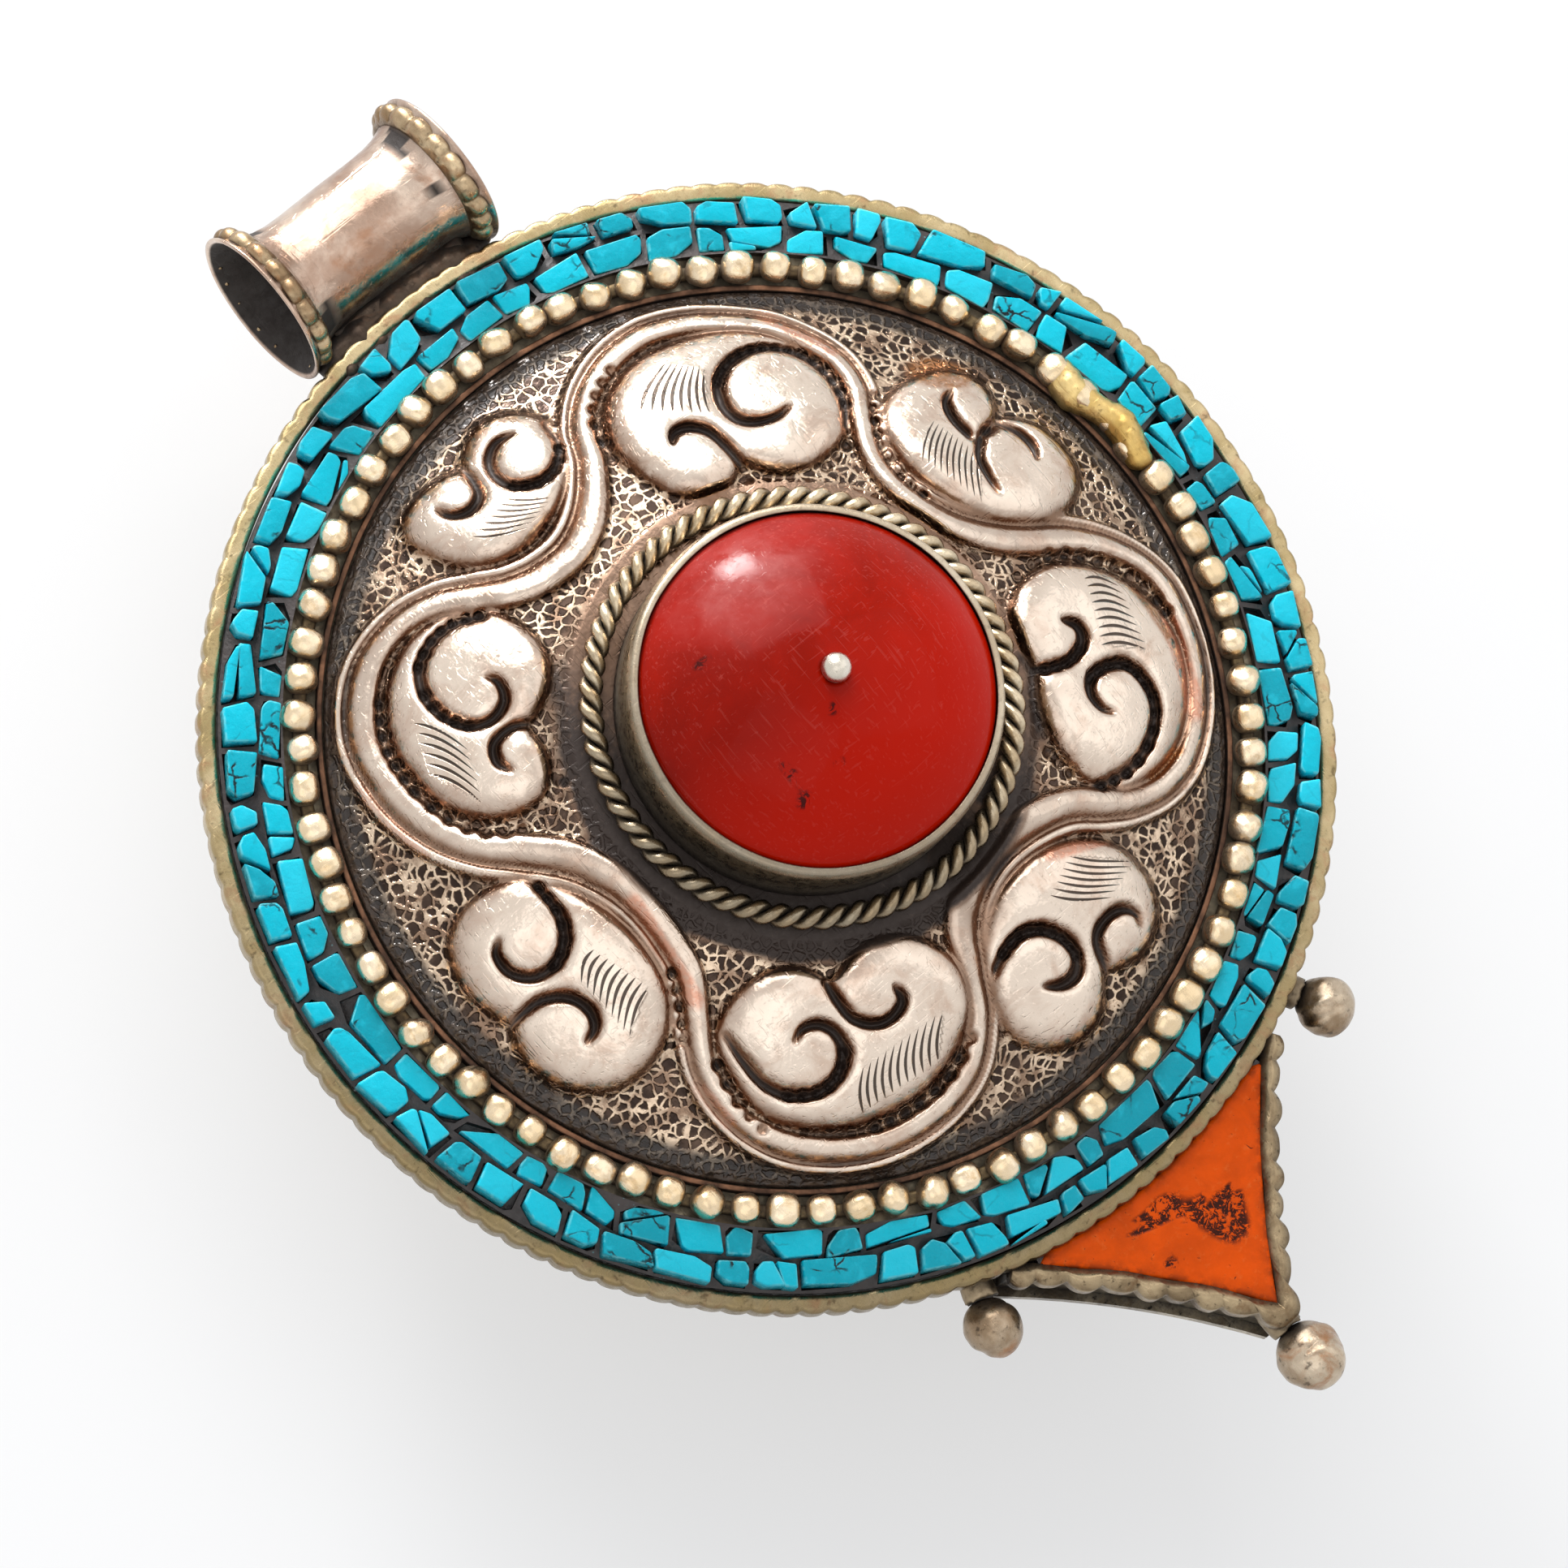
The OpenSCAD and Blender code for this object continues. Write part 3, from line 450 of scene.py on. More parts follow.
def puddle(name, balls, voxel, relax, lump, seed):
    """Solder that ran together from drops: balls of (x, y, z, radius) in millimetres, melted into one."""
    bm = bmesh.new()
    for x, y, z, radius in balls:
        bmesh.ops.create_icosphere(bm, subdivisions=2, radius=radius * MM,
                                   matrix=Matrix.Translation(Vector((x, y, z)) * MM))
    mesh = bpy.data.meshes.new(name)
    bm.to_mesh(mesh)
    bm.free()
    return melted(link(bpy.data.objects.new(name, mesh)), voxel, relax, lump, seed)


def clipped(outline, point, outwards):
    """The part of an outline on the inner side of a line through a point."""
    side = (outline - point) @ outwards
    kept = []
    for i in range(len(outline)):
        a, b, before, here = outline[i - 1], outline[i], side[i - 1], side[i]
        if (before < 0) != (here < 0):
            kept.append(a + (b - a) * before / (before - here))
        if here < 0:
            kept.append(b)
    return np.array(kept)


# A chip wider than this may be broken in two, and the share of such chips that are
BREAK_WIDTH, BREAK_SHARE = 2.0, 0.35


def shards(outline, draw):
    """A chip as the cutter left it: often broken in two, with its corners knocked off."""
    middle = outline.mean(0)
    across = np.sqrt(np.ptp(outline[:, 0]) * np.ptp(outline[:, 1]))
    parts = [outline]
    if across > BREAK_WIDTH and draw.uniform() < BREAK_SHARE:
        turn = draw.uniform(0, math.pi)
        cut = np.array([math.cos(turn), math.sin(turn)])
        point = middle + cut * draw.uniform(-0.16, 0.16) * across
        gap = draw.uniform(0.03, 0.09)
        parts = [clipped(outline, point - cut * gap, cut), clipped(outline, point + cut * gap, -cut)]
    for part in parts:
        if len(part) < 3:
            continue
        for _ in range(draw.integers(1, 3)):
            corner, middle = part[draw.integers(len(part))], part.mean(0)
            reach = corner - middle
            turn = draw.uniform(-0.6, 0.6)
            way = np.array([reach[0] * math.cos(turn) - reach[1] * math.sin(turn),
                            reach[0] * math.sin(turn) + reach[1] * math.cos(turn)]) / np.linalg.norm(reach)
            part = clipped(part, corner - way * draw.uniform(0.05, 0.26), way)
        if len(part) >= 3:
            middle = part.mean(0)
            turn = draw.uniform(-0.11, 0.11)
            spin = np.array([[math.cos(turn), -math.sin(turn)], [math.sin(turn), math.cos(turn)]])
            yield middle + (part - middle) @ spin * draw.uniform(0.94, 1.04)


def chip_outlines(node):
    """Top outlines of a CAD node's solids in millimetres, and the heights of its bottom and top."""
    holder = cad_copy(node, "outlines", tidy=math.radians(6))
    tops = [np.array([holder.data.vertices[i].co[:2] for i in f.vertices]) / MM
            for f in holder.data.polygons if f.normal.z > 0.9]
    levels = [v.co.z / MM for v in holder.data.vertices]
    bpy.data.objects.remove(holder)
    return tops, min(levels), max(levels)


def dress(piece, finish, body, slot, *nodes):
    """Gives a new piece its finish and body, and hides the CAD nodes that it stands for. The slot is not
    used.
    """
    piece.data.materials.clear()
    piece.data.materials.append(finish)
    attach(piece, body)
    if nodes:
        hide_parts(*nodes)
    return piece


def paint(node, finish):
    """A better material on a CAD node whose shape is right."""
    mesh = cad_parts[node].data
    mesh.materials.clear()
    mesh.materials.append(finish)


# Finishes

def old_metal(name, colour, dark, bright, rough=0.36, grain=1.0, dirt_and_shade=0.75, reach=0.7, warm=None, pits=0.3,
              tarnish_and_shade=None):
    """Worn metal: cloudy tone, soiling and painted shade in the crevices, brighter and duller patches,
    scratches and pits.

    Its colours are screen colours from 0 to 255. The last setting, (x, y, low, high, most), blackens the
    metal along the direction x, y, from low to high millimetres, as oxide and painted shade on that side.
    """
    f = Finish(name)
    colour, dark, bright = (srgb(*given) for given in (colour, dark, bright))
    clouds = f.noise(4.5 * grain, 5, 0.6, 0.4)
    fine = f.noise(0.55 * grain, 6, 0.62)
    tone = f.blend(f.span(clouds, 0.35, 0.68), colour, bright)
    if warm:
        tone = f.blend(f.span(f.noise(2.2 * grain, 5, 0.65, 0.6), 0.5, 0.72, 0, 0.75), tone, srgb(*warm))
    # Oxide and painted shade: the metal blackens toward one side.
    if tarnish_and_shade:
        x, y, low, high, most = tarnish_and_shade
        black = f.times(f.span(f.along(f.mm, (x, y, 0)), low, high, 0, most),
                        f.span(clouds, 0.25, 0.6, 0.6, 1.0))
        tone = f.blend(black, tone, dark)
    speck = f.span(fine, 0.56, 0.72)
    tone = f.blend(f.times(speck, pits), tone, dark)
    # Soiling and painted shade: the metal darkens and dulls in its crevices, by how near its neighbours
    # stand.
    grime_and_shade = f.times(f.crevice(reach, 0.8), f.span(fine, 0.2, 0.62, 0.6, 1.25), clamp=True)
    grime_and_shade = f.times(grime_and_shade, dirt_and_shade, clamp=True)
    tone = f.blend(grime_and_shade, tone, dark)
    metallic = f.span(grime_and_shade, 0.25, 0.95, 1.0, 0.35)
    roughness = f.plus(f.span(fine, 0.3, 0.7, rough - 0.08, rough + 0.12), f.times(grime_and_shade, 0.3))
    scratches = f.scratches(0.3 * grain)
    height = f.plus(f.times(fine, 0.9), f.times(scratches, -0.25))
    return f.give(tone, roughness, metallic, height, 0.35, 0.09 * grain)


def bored(material):
    """The same metal, blackened as painted shade where the mesh's bore attribute is 1."""
    f = Wires(material.node_tree)
    shader = next(n for n in f.tree.nodes if n.type == "BSDF_PRINCIPLED")
    bore = f.add("ShaderNodeAttribute", attribute_name="bore").outputs["Fac"]
    tone = shader.inputs["Base Color"].links[0].from_socket
    f.tree.links.new(f.blend(f.times(bore, 0.97), tone, srgb(22, 15, 13)), shader.inputs["Base Color"])
    shine = shader.inputs["Metallic"].links[0].from_socket
    f.tree.links.new(f.times(shine, f.math("MULTIPLY_ADD", bore, -0.95, 1.0)), shader.inputs["Metallic"])
    rough = shader.inputs["Roughness"].links[0].from_socket
    f.tree.links.new(f.plus(rough, f.times(bore, 0.5), clamp=True), shader.inputs["Roughness"])
    return material


def resin_finish(colour):
    """Dark glossy resin with dust of stone in it."""
    f = Finish("mosaic_resin")
    fine = f.noise(0.35, 5, 0.6)
    tone = f.blend(f.span(f.noise(1.6, 4), 0.35, 0.7), colour, shaded(colour, 0.35))
    dust = f.span(f.cells(0.42, "F1"), 0.16, 0.06)
    dust = f.times(dust, f.span(f.noise(1.1, 2), 0.5, 0.62))
    tone = f.blend(f.times(dust, 0.7), tone, srgb(110, 160, 165))
    return f.give(tone, f.span(fine, 0.3, 0.7, 0.28, 0.5), 0.0, fine, 0.5, 0.12)


def turquoise_finish(colour):
    """Polished turquoise: each chip has its own tone, dark veins and pale chipped edges with a painted
    highlight.
    """
    f = Finish("turquoise_chip")
    tone = f.attribute("tone")
    deep, pale = shaded(colour, 0.68), shaded(colour, 1.15, 0.02)
    body = f.blend(f.span(tone, 0.1, 0.55), deep, colour)
    body = f.blend(f.span(tone, 0.6, 1.0, 0, 0.75), body, pale)
    clouds = f.noise(0.9, 4, 0.6, 0.4)
    body = f.blend(f.span(clouds, 0.5, 0.75, 0, 0.5), body, pale)
    vein = f.span(f.cells(0.85, at=f.shifted(0.45, 1.3, 4)), 0.055, 0.012)
    patches = f.times(f.span(f.noise(1.9, 3), 0.5, 0.62), f.span(tone, 0.8, 0.3, 0.15, 1))
    vein = f.times(vein, patches)
    body = f.blend(vein, body, srgb(14, 30, 34))
    # Pale chipped edges that also carry a painted highlight.
    edge = f.attribute("edge")
    scuff_and_glint = f.times(edge, f.span(f.noise(0.5, 3), 0.42, 0.6))
    body = f.blend(f.times(scuff_and_glint, 0.55), body, srgb(120, 214, 222))
    rough = f.span(f.noise(0.4, 4), 0.3, 0.7, 0.13, 0.32)
    height = f.math("SUBTRACT", f.noise(0.35, 5, 0.65), f.times(vein, 0.8))
    f.shader.inputs["Specular IOR Level"].default_value = 0.2
    return f.give(body, rough, 0.0, height, 0.4, 0.08)


def coral_finish(colour):
    """Round red coral: deep glossy red turning lighter and more orange toward -y, partly painted light,
    brown flecks near the middle, and a painted milky reflection on a rougher patch.
    """
    f = Finish("red_coral")
    clouds = f.noise(5.0, 5, 0.6, 0.5)
    body = f.blend(f.span(clouds, 0.3, 0.7), shaded(colour, 0.8), shaded(colour, 1.15))
    # Partly the coral's own tone, partly painted light: lighter and more orange toward -y, darker toward +y.
    across = f.add("ShaderNodeSeparateXYZ", {0: f.mm}).outputs[1]
    body = f.blend(f.span(across, 3.0, -6.0, 0, 0.95), body, srgb(206, 25, 0))
    fleck = f.times(f.span(f.noise(0.6, 5, 0.7, 0.8), 0.46, 0.58), f.span(f.attribute("fleck"), 0.3, 0.75))
    body = f.blend(f.times(fleck, 0.92), body, srgb(48, 12, 10))
    scratch = f.scratches(0.16, 16)
    # Painted reflection: a milky pink haze over a patch that is also rougher.
    reflection_patch = f.attribute("reflection_patch")
    reflection_haze = f.times(reflection_patch, f.span(f.noise(1.4, 5, 0.65, 0.3), 0.3, 0.75, 0.35, 1.0), clamp=True)
    body = f.blend(f.times(reflection_haze, 0.68), body, srgb(170, 98, 95))
    body = f.blend(f.times(scratch, 0.07), body, srgb(226, 120, 110))
    rough = f.plus(f.times(reflection_haze, 0.1), f.span(f.noise(0.7, 4), 0.3, 0.7, 0.06, 0.14))
    height = f.plus(f.times(scratch, -0.35), f.noise(1.2, 4))
    f.shader.inputs["Specular IOR Level"].default_value = 0.08
    return f.give(body, rough, 0.0, height, 0.12, 0.06)


def orange_coral_finish(colour):
    """Drop coral: orange with black pits and a darker cracked band."""
    f = Finish("orange_coral")
    clouds = f.noise(2.6, 5, 0.62, 0.4)
    body = f.blend(f.span(clouds, 0.32, 0.7), shaded(colour, 0.84), shaded(colour, 1.1))
    body = f.blend(f.span(f.noise(0.5, 5, 0.6), 0.55, 0.75, 0, 0.3), body, srgb(240, 130, 60))
    speck = f.attribute("speck")
    fork = f.math("ABSOLUTE", f.math("SUBTRACT", f.noise(0.75, 5, 0.75, 0.9), 0.5))
    branch = f.times(f.span(fork, 0.085, 0.04), f.span(f.noise(0.4, 4), 0.4, 0.47))
    pit = f.times(branch, f.span(speck, 0.42, 0.8))
    lone = f.times(f.span(f.noise(0.5, 5, 0.7, 0.6), 0.64, 0.7), 0.8)
    dark = f.most(pit, lone)
    body = f.blend(f.times(f.attribute("edge"), f.span(f.noise(0.6, 4), 0.4, 0.6, 0, 0.8)), body,
                   srgb(130, 50, 18))
    body = f.blend(f.times(dark, 0.96), body, srgb(22, 11, 9))
    rough = f.span(f.noise(0.6, 4), 0.3, 0.7, 0.32, 0.52)
    height = f.math("SUBTRACT", f.noise(0.5, 5, 0.6), f.times(dark, 1.2))
    f.shader.inputs["Specular IOR Level"].default_value = 0.12
    return f.give(body, rough, 0.0, height, 0.4, 0.1)


def plate_finish(silver, shade):
    """Repousse silver: rubbed tops with a painted highlight, painted shade on the warm slopes, hollows dark
    with patina and painted shade, punched ground, strokes and copper wear.
    """
    f = Finish("scroll_silver")
    worn, patina_and_shade, ground, slope = (f.attribute(name) for name in ("worn", "patina_and_shade", "ground", "slope"))
    copper, stain, open_edge = f.attribute("copper"), f.attribute("stain"), f.attribute("edge_ring")
    fine = f.noise(0.3, 6, 0.65)
    clouds = f.noise(2.2, 5, 0.62, 0.5)
    # Rubbed wear and painted highlight: ridges and high tops are bright silver, the lower forms browner.
    body = f.blend(f.span(worn, 0.1, 0.75), srgb(136, 111, 94), silver)
    body = f.blend(f.span(clouds, 0.46, 0.7, 0, 0.5), body, srgb(184, 150, 128))
    # Painted shade: steep sides turn warm brown.
    steep = f.times(slope, f.span(f.noise(0.9, 5, 0.7, 0.6), 0.3, 0.65, 0.3, 0.9))
    body = f.blend(steep, body, srgb(132, 98, 76))
    body = f.blend(f.span(fine, 0.58, 0.76, 0, 0.32), body, shade)
    net = f.span(f.cells(0.4, at=f.shifted(0.3, 1.6, 3)), 0.07, 0.19)
    worn_net = f.blend(f.span(f.noise(1.3, 4), 0.38, 0.6), srgb(142, 116, 96), srgb(222, 198, 172))
    floor_tone = f.blend(net, worn_net, shaded(shade, 0.8))
    body = f.blend(f.times(ground, f.span(f.noise(1.8, 3), 0.3, 0.6, 0.75, 1)), body, floor_tone)
    # The outer edge of the plate, past the relief, darkens to near black.
    body = f.blend(f.times(open_edge, f.span(fine, 0.35, 0.62, 0.98, 0.8)), body, srgb(38, 32, 29))
    # Patina and painted shade in the hollows, with a painted shadow by the bezel.
    depth = f.times(f.span(patina_and_shade, 0.05, 0.7), f.span(fine, 0.2, 0.6, 0.85, 1.1), clamp=True)
    body = f.blend(f.span(depth, 0.0, 0.5, 0, 0.8), body, srgb(112, 88, 72))
    body = f.blend(f.span(depth, 0.5, 1.0), body, shaded(shade, 0.7))
    phase, inside = f.attribute("hatch"), f.attribute("hatch_in")
    line = f.math("PINGPONG", phase, 0.5)
    width = f.times(inside, 0.24)
    cut = f.times(f.span(f.math("SUBTRACT", width, line), 0.0, 0.1), f.span(inside, 0.02, 0.2))
    body = f.blend(f.times(cut, 0.92), body, shaded(shade, 0.6))
    body = f.blend(f.times(copper, f.span(fine, 0.3, 0.6, 0.35, 0.75)), body, srgb(206, 140, 112))
    body = f.blend(f.times(stain, f.span(fine, 0.3, 0.6, 0.5, 0.85)), body, srgb(158, 104, 60))
    rough = f.plus(f.span(fine, 0.3, 0.72, 0.13, 0.27), f.times(depth, 0.35))
    flat = f.most(depth, open_edge, f.times(ground, 0.45))
    metallic = f.span(flat, 0.2, 1.0, 1.0, 0.25)
    height = f.plus(f.times(fine, 0.16), f.times(f.noise(1.2, 3), 0.9))
    height = f.plus(height, f.times(f.scratches(0.24, 10), -0.25))
    height = f.plus(height, f.times(cut, -2.6))
    height = f.plus(height, f.times(f.times(net, ground), -2.0))
    return f.give(body, rough, metallic, height, 0.6, 0.1)


# Scroll plate, in millimetres

PLATE_R, CROWN_R, CROWN_TOP = 22.87, 11.52, 12.1
PLATE_RISE, PLATE_T, PLATE_SEAT, SHELF_TOP, PIN_HOLE_R = 5.45, 0.6, 0.5, 6.05, 0.47

# Where the relief fades out, the rolled edge and its rise, the darkened outer edge, and the ring of patina
# and painted shadow by the bezel
RELIEF_END, ROLL_R, ROLL_RISE, DARK_EDGE_R, SHADE_R = 22.8, 22.5, 0.12, 21.5, 13.2

# The stem swings in and out round the plate, past eight lobes: (x, y, half width)
STEM = [
    (0.2, 16.2, .9), (1.3, 18, .8), (3, 19.3, .8), (5.2, 20, .85), (7.5, 20, .85), (9.6, 19.2, .85),
    (11.4, 17.9, .85), (13, 16.3, .8), (14, 14.4, .8), (14.4, 12.5, .8), (14, 10.8, .8), (12.8, 9.2, .85),
    (11.8, 7.6, .8), (11.5, 5.8, .8), (11.9, 3.9, .85), (12.7, 2.2, .95), (14, 0.7, 1.05), (15.6, -0.4, 1.05),
    (17.4, -1.5, .95), (18.9, -2.9, .85), (20, -4.6, .8), (20.4, -6.4, .8), (20, -8.3, .8), (19.3, -10.1, .8),
    (18.1, -11.8, .8), (16.6, -13.2, .8), (14.8, -14.2, .8), (12.8, -14.5, .8), (10.8, -14.1, .85),
    (9.3, -13.3, 1.0), (7.5, -12.2, 1.05), (5.2, -11.7, 1.05), (2.8, -11.7, 1.1), (0.8, -12.4, 1.15),
    (-0.6, -13.7, 1.1), (-1.4, -15.4, .9), (-2.3, -17.3, .8), (-3.8, -18.9, .8), (-5.8, -19.6, .8),
    (-8, -19.6, .8), (-10.2, -19, .8), (-12.2, -17.8, .8), (-13.8, -16.2, .8), (-14.8, -14.4, .75),
    (-15.2, -12.4, .75), (-15, -10.4, .75), (-14.1, -8.5, .85), (-13.1, -6.6, .9), (-12.8, -4.6, .9),
    (-12.8, -2.6, .9), (-13.1, -0.8, 1.0), (-13.9, 1.2, 1.1), (-15.3, 3, 1.1), (-16.7, 4.6, 1.0),
    (-17.6, 6.4, .95), (-18, 8.4, .95), (-17.9, 10.5, .95), (-17.3, 12.6, .95), (-16, 14.4, .95),
    (-14.2, 15.7, .9), (-12, 16.2, .85), (-10, 15.8, .9), (-8.4, 14.8, 1.0), (-7, 13.9, 1.05),
    (-5.3, 13.4, 1.1), (-3.4, 13.5, 1.1), (-1.5, 14.5, 1.05),
]

# Each lobe: its outline, then the grooves that part its curls, as (x, y, half width)
LOBES = [
    ([(1.8, 14.4), (1.9, 15.8), (2.5, 17.1), (3.6, 18.2), (5.2, 18.75), (7, 18.75), (8.8, 18.3), (10.6, 17.5),
      (12.1, 16.3), (13, 15), (13.4, 13.6), (13.3, 12), (12.8, 10.6), (11.8, 9.6), (10.4, 9.1), (8.8, 9.1),
      (7.4, 9.6), (6.5, 10.6), (6, 11.6), (5.6, 11.3), (4.9, 11), (4, 10.9), (3.1, 11.3), (2.3, 12.2),
      (1.9, 13.3)],
     [[(11.6, 9.6, .2), (12.6, 10.6, .3), (13.1, 11.9, .32), (13.1, 13.3, .36), (12.6, 14.5, .36),
       (11.6, 15.4, .36), (10.4, 15.8, .36), (9.2, 15.75, .36), (8.2, 15.3, .4), (7.5, 14.4, .42),
       (7.4, 13.3, .4), (8, 12.5, .32), (9, 12.1, .2), (10, 12.1, .06)],
      [(5.8, 11.2, .3), (5.85, 12.4, .32), (5.8, 13.6, .34), (5.2, 14.4, .34), (4.4, 14.6, .28),
       (3.8, 14.2, .08)]]),
    ([(12.6, 5.6), (12.7, 7.2), (13.2, 8.4), (14.2, 9.3), (15.4, 9.6), (17, 9.5), (18.4, 9), (19.4, 8),
      (19.7, 6.9), (19.2, 6), (18.2, 5.5), (17.3, 5.5), (16.9, 5), (17.3, 4.7), (18.1, 4.7), (18.7, 5),
      (19.7, 4.7), (20.5, 3.7), (20.8, 2.3), (20.6, 1), (19.7, 0), (18.2, -0.5), (16.6, -0.2), (15.5, 0.3),
      (14.3, 1.4), (13.3, 2.8), (12.8, 4.2)],
     [[(16.5, 5.4, .3), (16.5, 6.6, .34), (16.9, 7.5, .28), (17.6, 7.8, .08)],
      [(18.6, 5, .3), (19.05, 4.1, .36), (19.05, 3.1, .32), (18.6, 2.4, .1)],
      [(17, 5, .34), (16, 4.2, .26), (15.6, 3.2, .2), (15.4, 2.2, .08)]]),
    ([(10.8, -5.2), (10.8, -4.2), (11.3, -3.1), (12.4, -2.3), (13.8, -2), (15.2, -2.2), (16.5, -3),
      (17.7, -4.2), (18.5, -5.6), (18.9, -7.2), (18.7, -8.9), (18, -10.4), (16.8, -11.9), (15.4, -12.9),
      (13.8, -13.3), (12, -13.4), (10.4, -13), (9.6, -12.2), (9.2, -11), (9.1, -9.6), (9.3, -8.2), (9.8, -7),
      (10.6, -6.1)],
     [[(9.4, -12.1, .25), (11.5, -12.55, .38), (13.4, -12.15, .38), (14.9, -11.1, .38), (15.35, -9.8, .38),
       (15.1, -8.5, .38), (14.2, -7.9, .36), (13, -7.8, .36), (12.25, -8.4, .3), (12.2, -9.3, .2),
       (12.6, -9.9, .06)],
      [(10.5, -5.8, .3), (11.7, -6.35, .32), (12.8, -6.5, .34), (13.8, -6.1, .36), (14, -5.4, .32),
       (13.4, -4.7, .08)]]),
    ([(-0.6, -15.2), (0.2, -14.1), (1.4, -13.3), (3, -12.9), (4.6, -12.9), (6.2, -13.3), (7.6, -14),
      (8.7, -15.1), (9.2, -16.4), (9.2, -17.8), (8.7, -18.9), (7.7, -19.6), (6.4, -19.95), (5.2, -19.7),
      (4.5, -19.3), (4.1, -19.6), (3.5, -20.6), (2.4, -21.2), (1, -21.2), (-0.3, -20.6), (-1.2, -19.7),
      (-1.6, -18.5), (-1.4, -17.3), (-0.9, -16.3)],
     [[(-0.9, -16.1, .2), (0.3, -15.55, .34), (1.5, -15.4, .36), (2.6, -15.9, .38), (3.35, -16.9, .42),
       (3.5, -17.9, .42), (2.9, -18.6, .42), (1.9, -18.6, .3), (0.9, -18.05, .06)],
      [(4.5, -20, .3), (4.6, -18.9, .36), (4.9, -17.9, .36), (5.8, -17.5, .28), (6.8, -17.6, .26),
       (7.4, -18.2, .2), (7.3, -18.9, .06)]]),
    ([(-13.9, -11.5), (-13.7, -10), (-12.8, -9.2), (-11.5, -8.8), (-10, -8.9), (-8.8, -9.5), (-8.1, -10.5),
      (-7.8, -11.4), (-7.2, -11.3), (-6.2, -11), (-5, -11), (-3.8, -11.6), (-2.8, -12.5), (-2.2, -13.8),
      (-2.1, -15.2), (-2.7, -16.5), (-3.9, -17.5), (-5.4, -18.05), (-7.3, -18.2), (-9.3, -17.8),
      (-11.1, -16.95), (-12.6, -15.8), (-13.6, -14.5), (-14, -13)],
     [[(-13.2, -9.9, .15), (-13.25, -11.5, .26), (-13.1, -12.9, .3), (-12.4, -14.2, .34), (-11.2, -15, .38),
       (-10, -15, .4), (-9.1, -14.3, .4), (-8.95, -13.3, .34), (-9.4, -12.5, .28), (-10.2, -12.15, .2),
       (-11, -12.4, .06)],
      [(-7.9, -11.2, .28), (-8, -12.2, .3), (-7.9, -13.3, .3), (-7.2, -14.2, .3), (-6.3, -14.5, .28),
       (-5.4, -14.2, .3), (-5.4, -13.4, .08)]]),
    ([(-15.8, 2.2), (-17.2, 2.85), (-18.6, 3), (-20, 2.5), (-20.9, 1.2), (-21.1, -0.4), (-20.8, -1.9),
      (-20.5, -2.8), (-20.9, -3.8), (-21, -4.9), (-20.7, -6.2), (-19.9, -7.4), (-18.8, -8.4), (-17.4, -8.75),
      (-15.9, -8.4), (-14.7, -7.5), (-14, -6.2), (-13.8, -4.4), (-13.9, -2.4), (-14.4, -0.5), (-15, 1)],
     [[(-15.7, 2, .15), (-15.7, 0.9, .3), (-15.8, -0.3, .34), (-16.4, -1.4, .34), (-17.4, -2, .34),
       (-18.5, -1.8, .34), (-19.2, -0.9, .3), (-19.2, 0.2, .22), (-18.7, 0.7, .08)],
      [(-21.2, -3, .3), (-20.2, -2.8, .3), (-18.9, -2.9, .32), (-17.9, -3.6, .32), (-17.5, -4.7, .32),
       (-17.8, -5.6, .26), (-18.6, -5.9, .08)]]),
    ([(-16.4, 8.8), (-16.3, 10.5), (-15.8, 12.1), (-14.8, 13.5), (-13.4, 14.5), (-12, 15), (-10.5, 14.9),
      (-9.2, 14.3), (-8.4, 13.3), (-8, 12), (-7.9, 10.8), (-8.3, 9.6), (-9.3, 8.6), (-10.5, 8.1),
      (-11.2, 8.0), (-11.3, 7.4), (-11.3, 6.5), (-11.7, 5.6), (-12.6, 4.8), (-13.8, 4.8), (-15, 5.4),
      (-15.9, 6.6), (-16.4, 7.8)],
     [[(-9, 13.6, .3), (-10.2, 14.2, .34), (-11.5, 14.2, .34), (-12.8, 13.6, .34), (-13.6, 12.3, .34),
       (-13.7, 10.9, .3), (-13.2, 9.7, .3), (-12.2, 9.2, .3), (-11.2, 9.5, .26), (-10.8, 10.4, .2),
       (-11.1, 11.1, .06)],
      [(-10.9, 7.8, .3), (-11.8, 8.3, .28), (-12.9, 8.2, .3), (-13.4, 7.4, .28), (-13.2, 6.6, .08)]]),
    ([(-8.7, 18.4), (-8.6, 19.4), (-7.9, 20.1), (-6.8, 20.45), (-5.5, 20.5), (-4.6, 20.2), (-4.2, 19.9),
      (-3.7, 20.5), (-2.8, 21.1), (-1.7, 21.4), (-0.6, 21), (0.2, 20.2), (0.6, 19.1), (0.3, 17.8),
      (-0.2, 16.9), (-1.5, 16), (-3.1, 15.3), (-4.8, 14.95), (-6.3, 15.2), (-7.5, 15.9), (-8.3, 17.1)],
     [[(0.3, 19.2, .2), (0, 17.9, .3), (-0.9, 17.15, .32), (-2.1, 17, .34), (-3.2, 17.6, .34),
       (-3.5, 18.6, .34), (-3.1, 19.5, .34), (-2.2, 20, .26), (-1.3, 19.8, .08)],
      [(-4.2, 20.2, .3), (-4.4, 19.2, .32), (-4.8, 18.4, .32), (-5.7, 18.1, .32), (-6.5, 18.5, .28),
       (-6.8, 19.3, .08)]]),
]
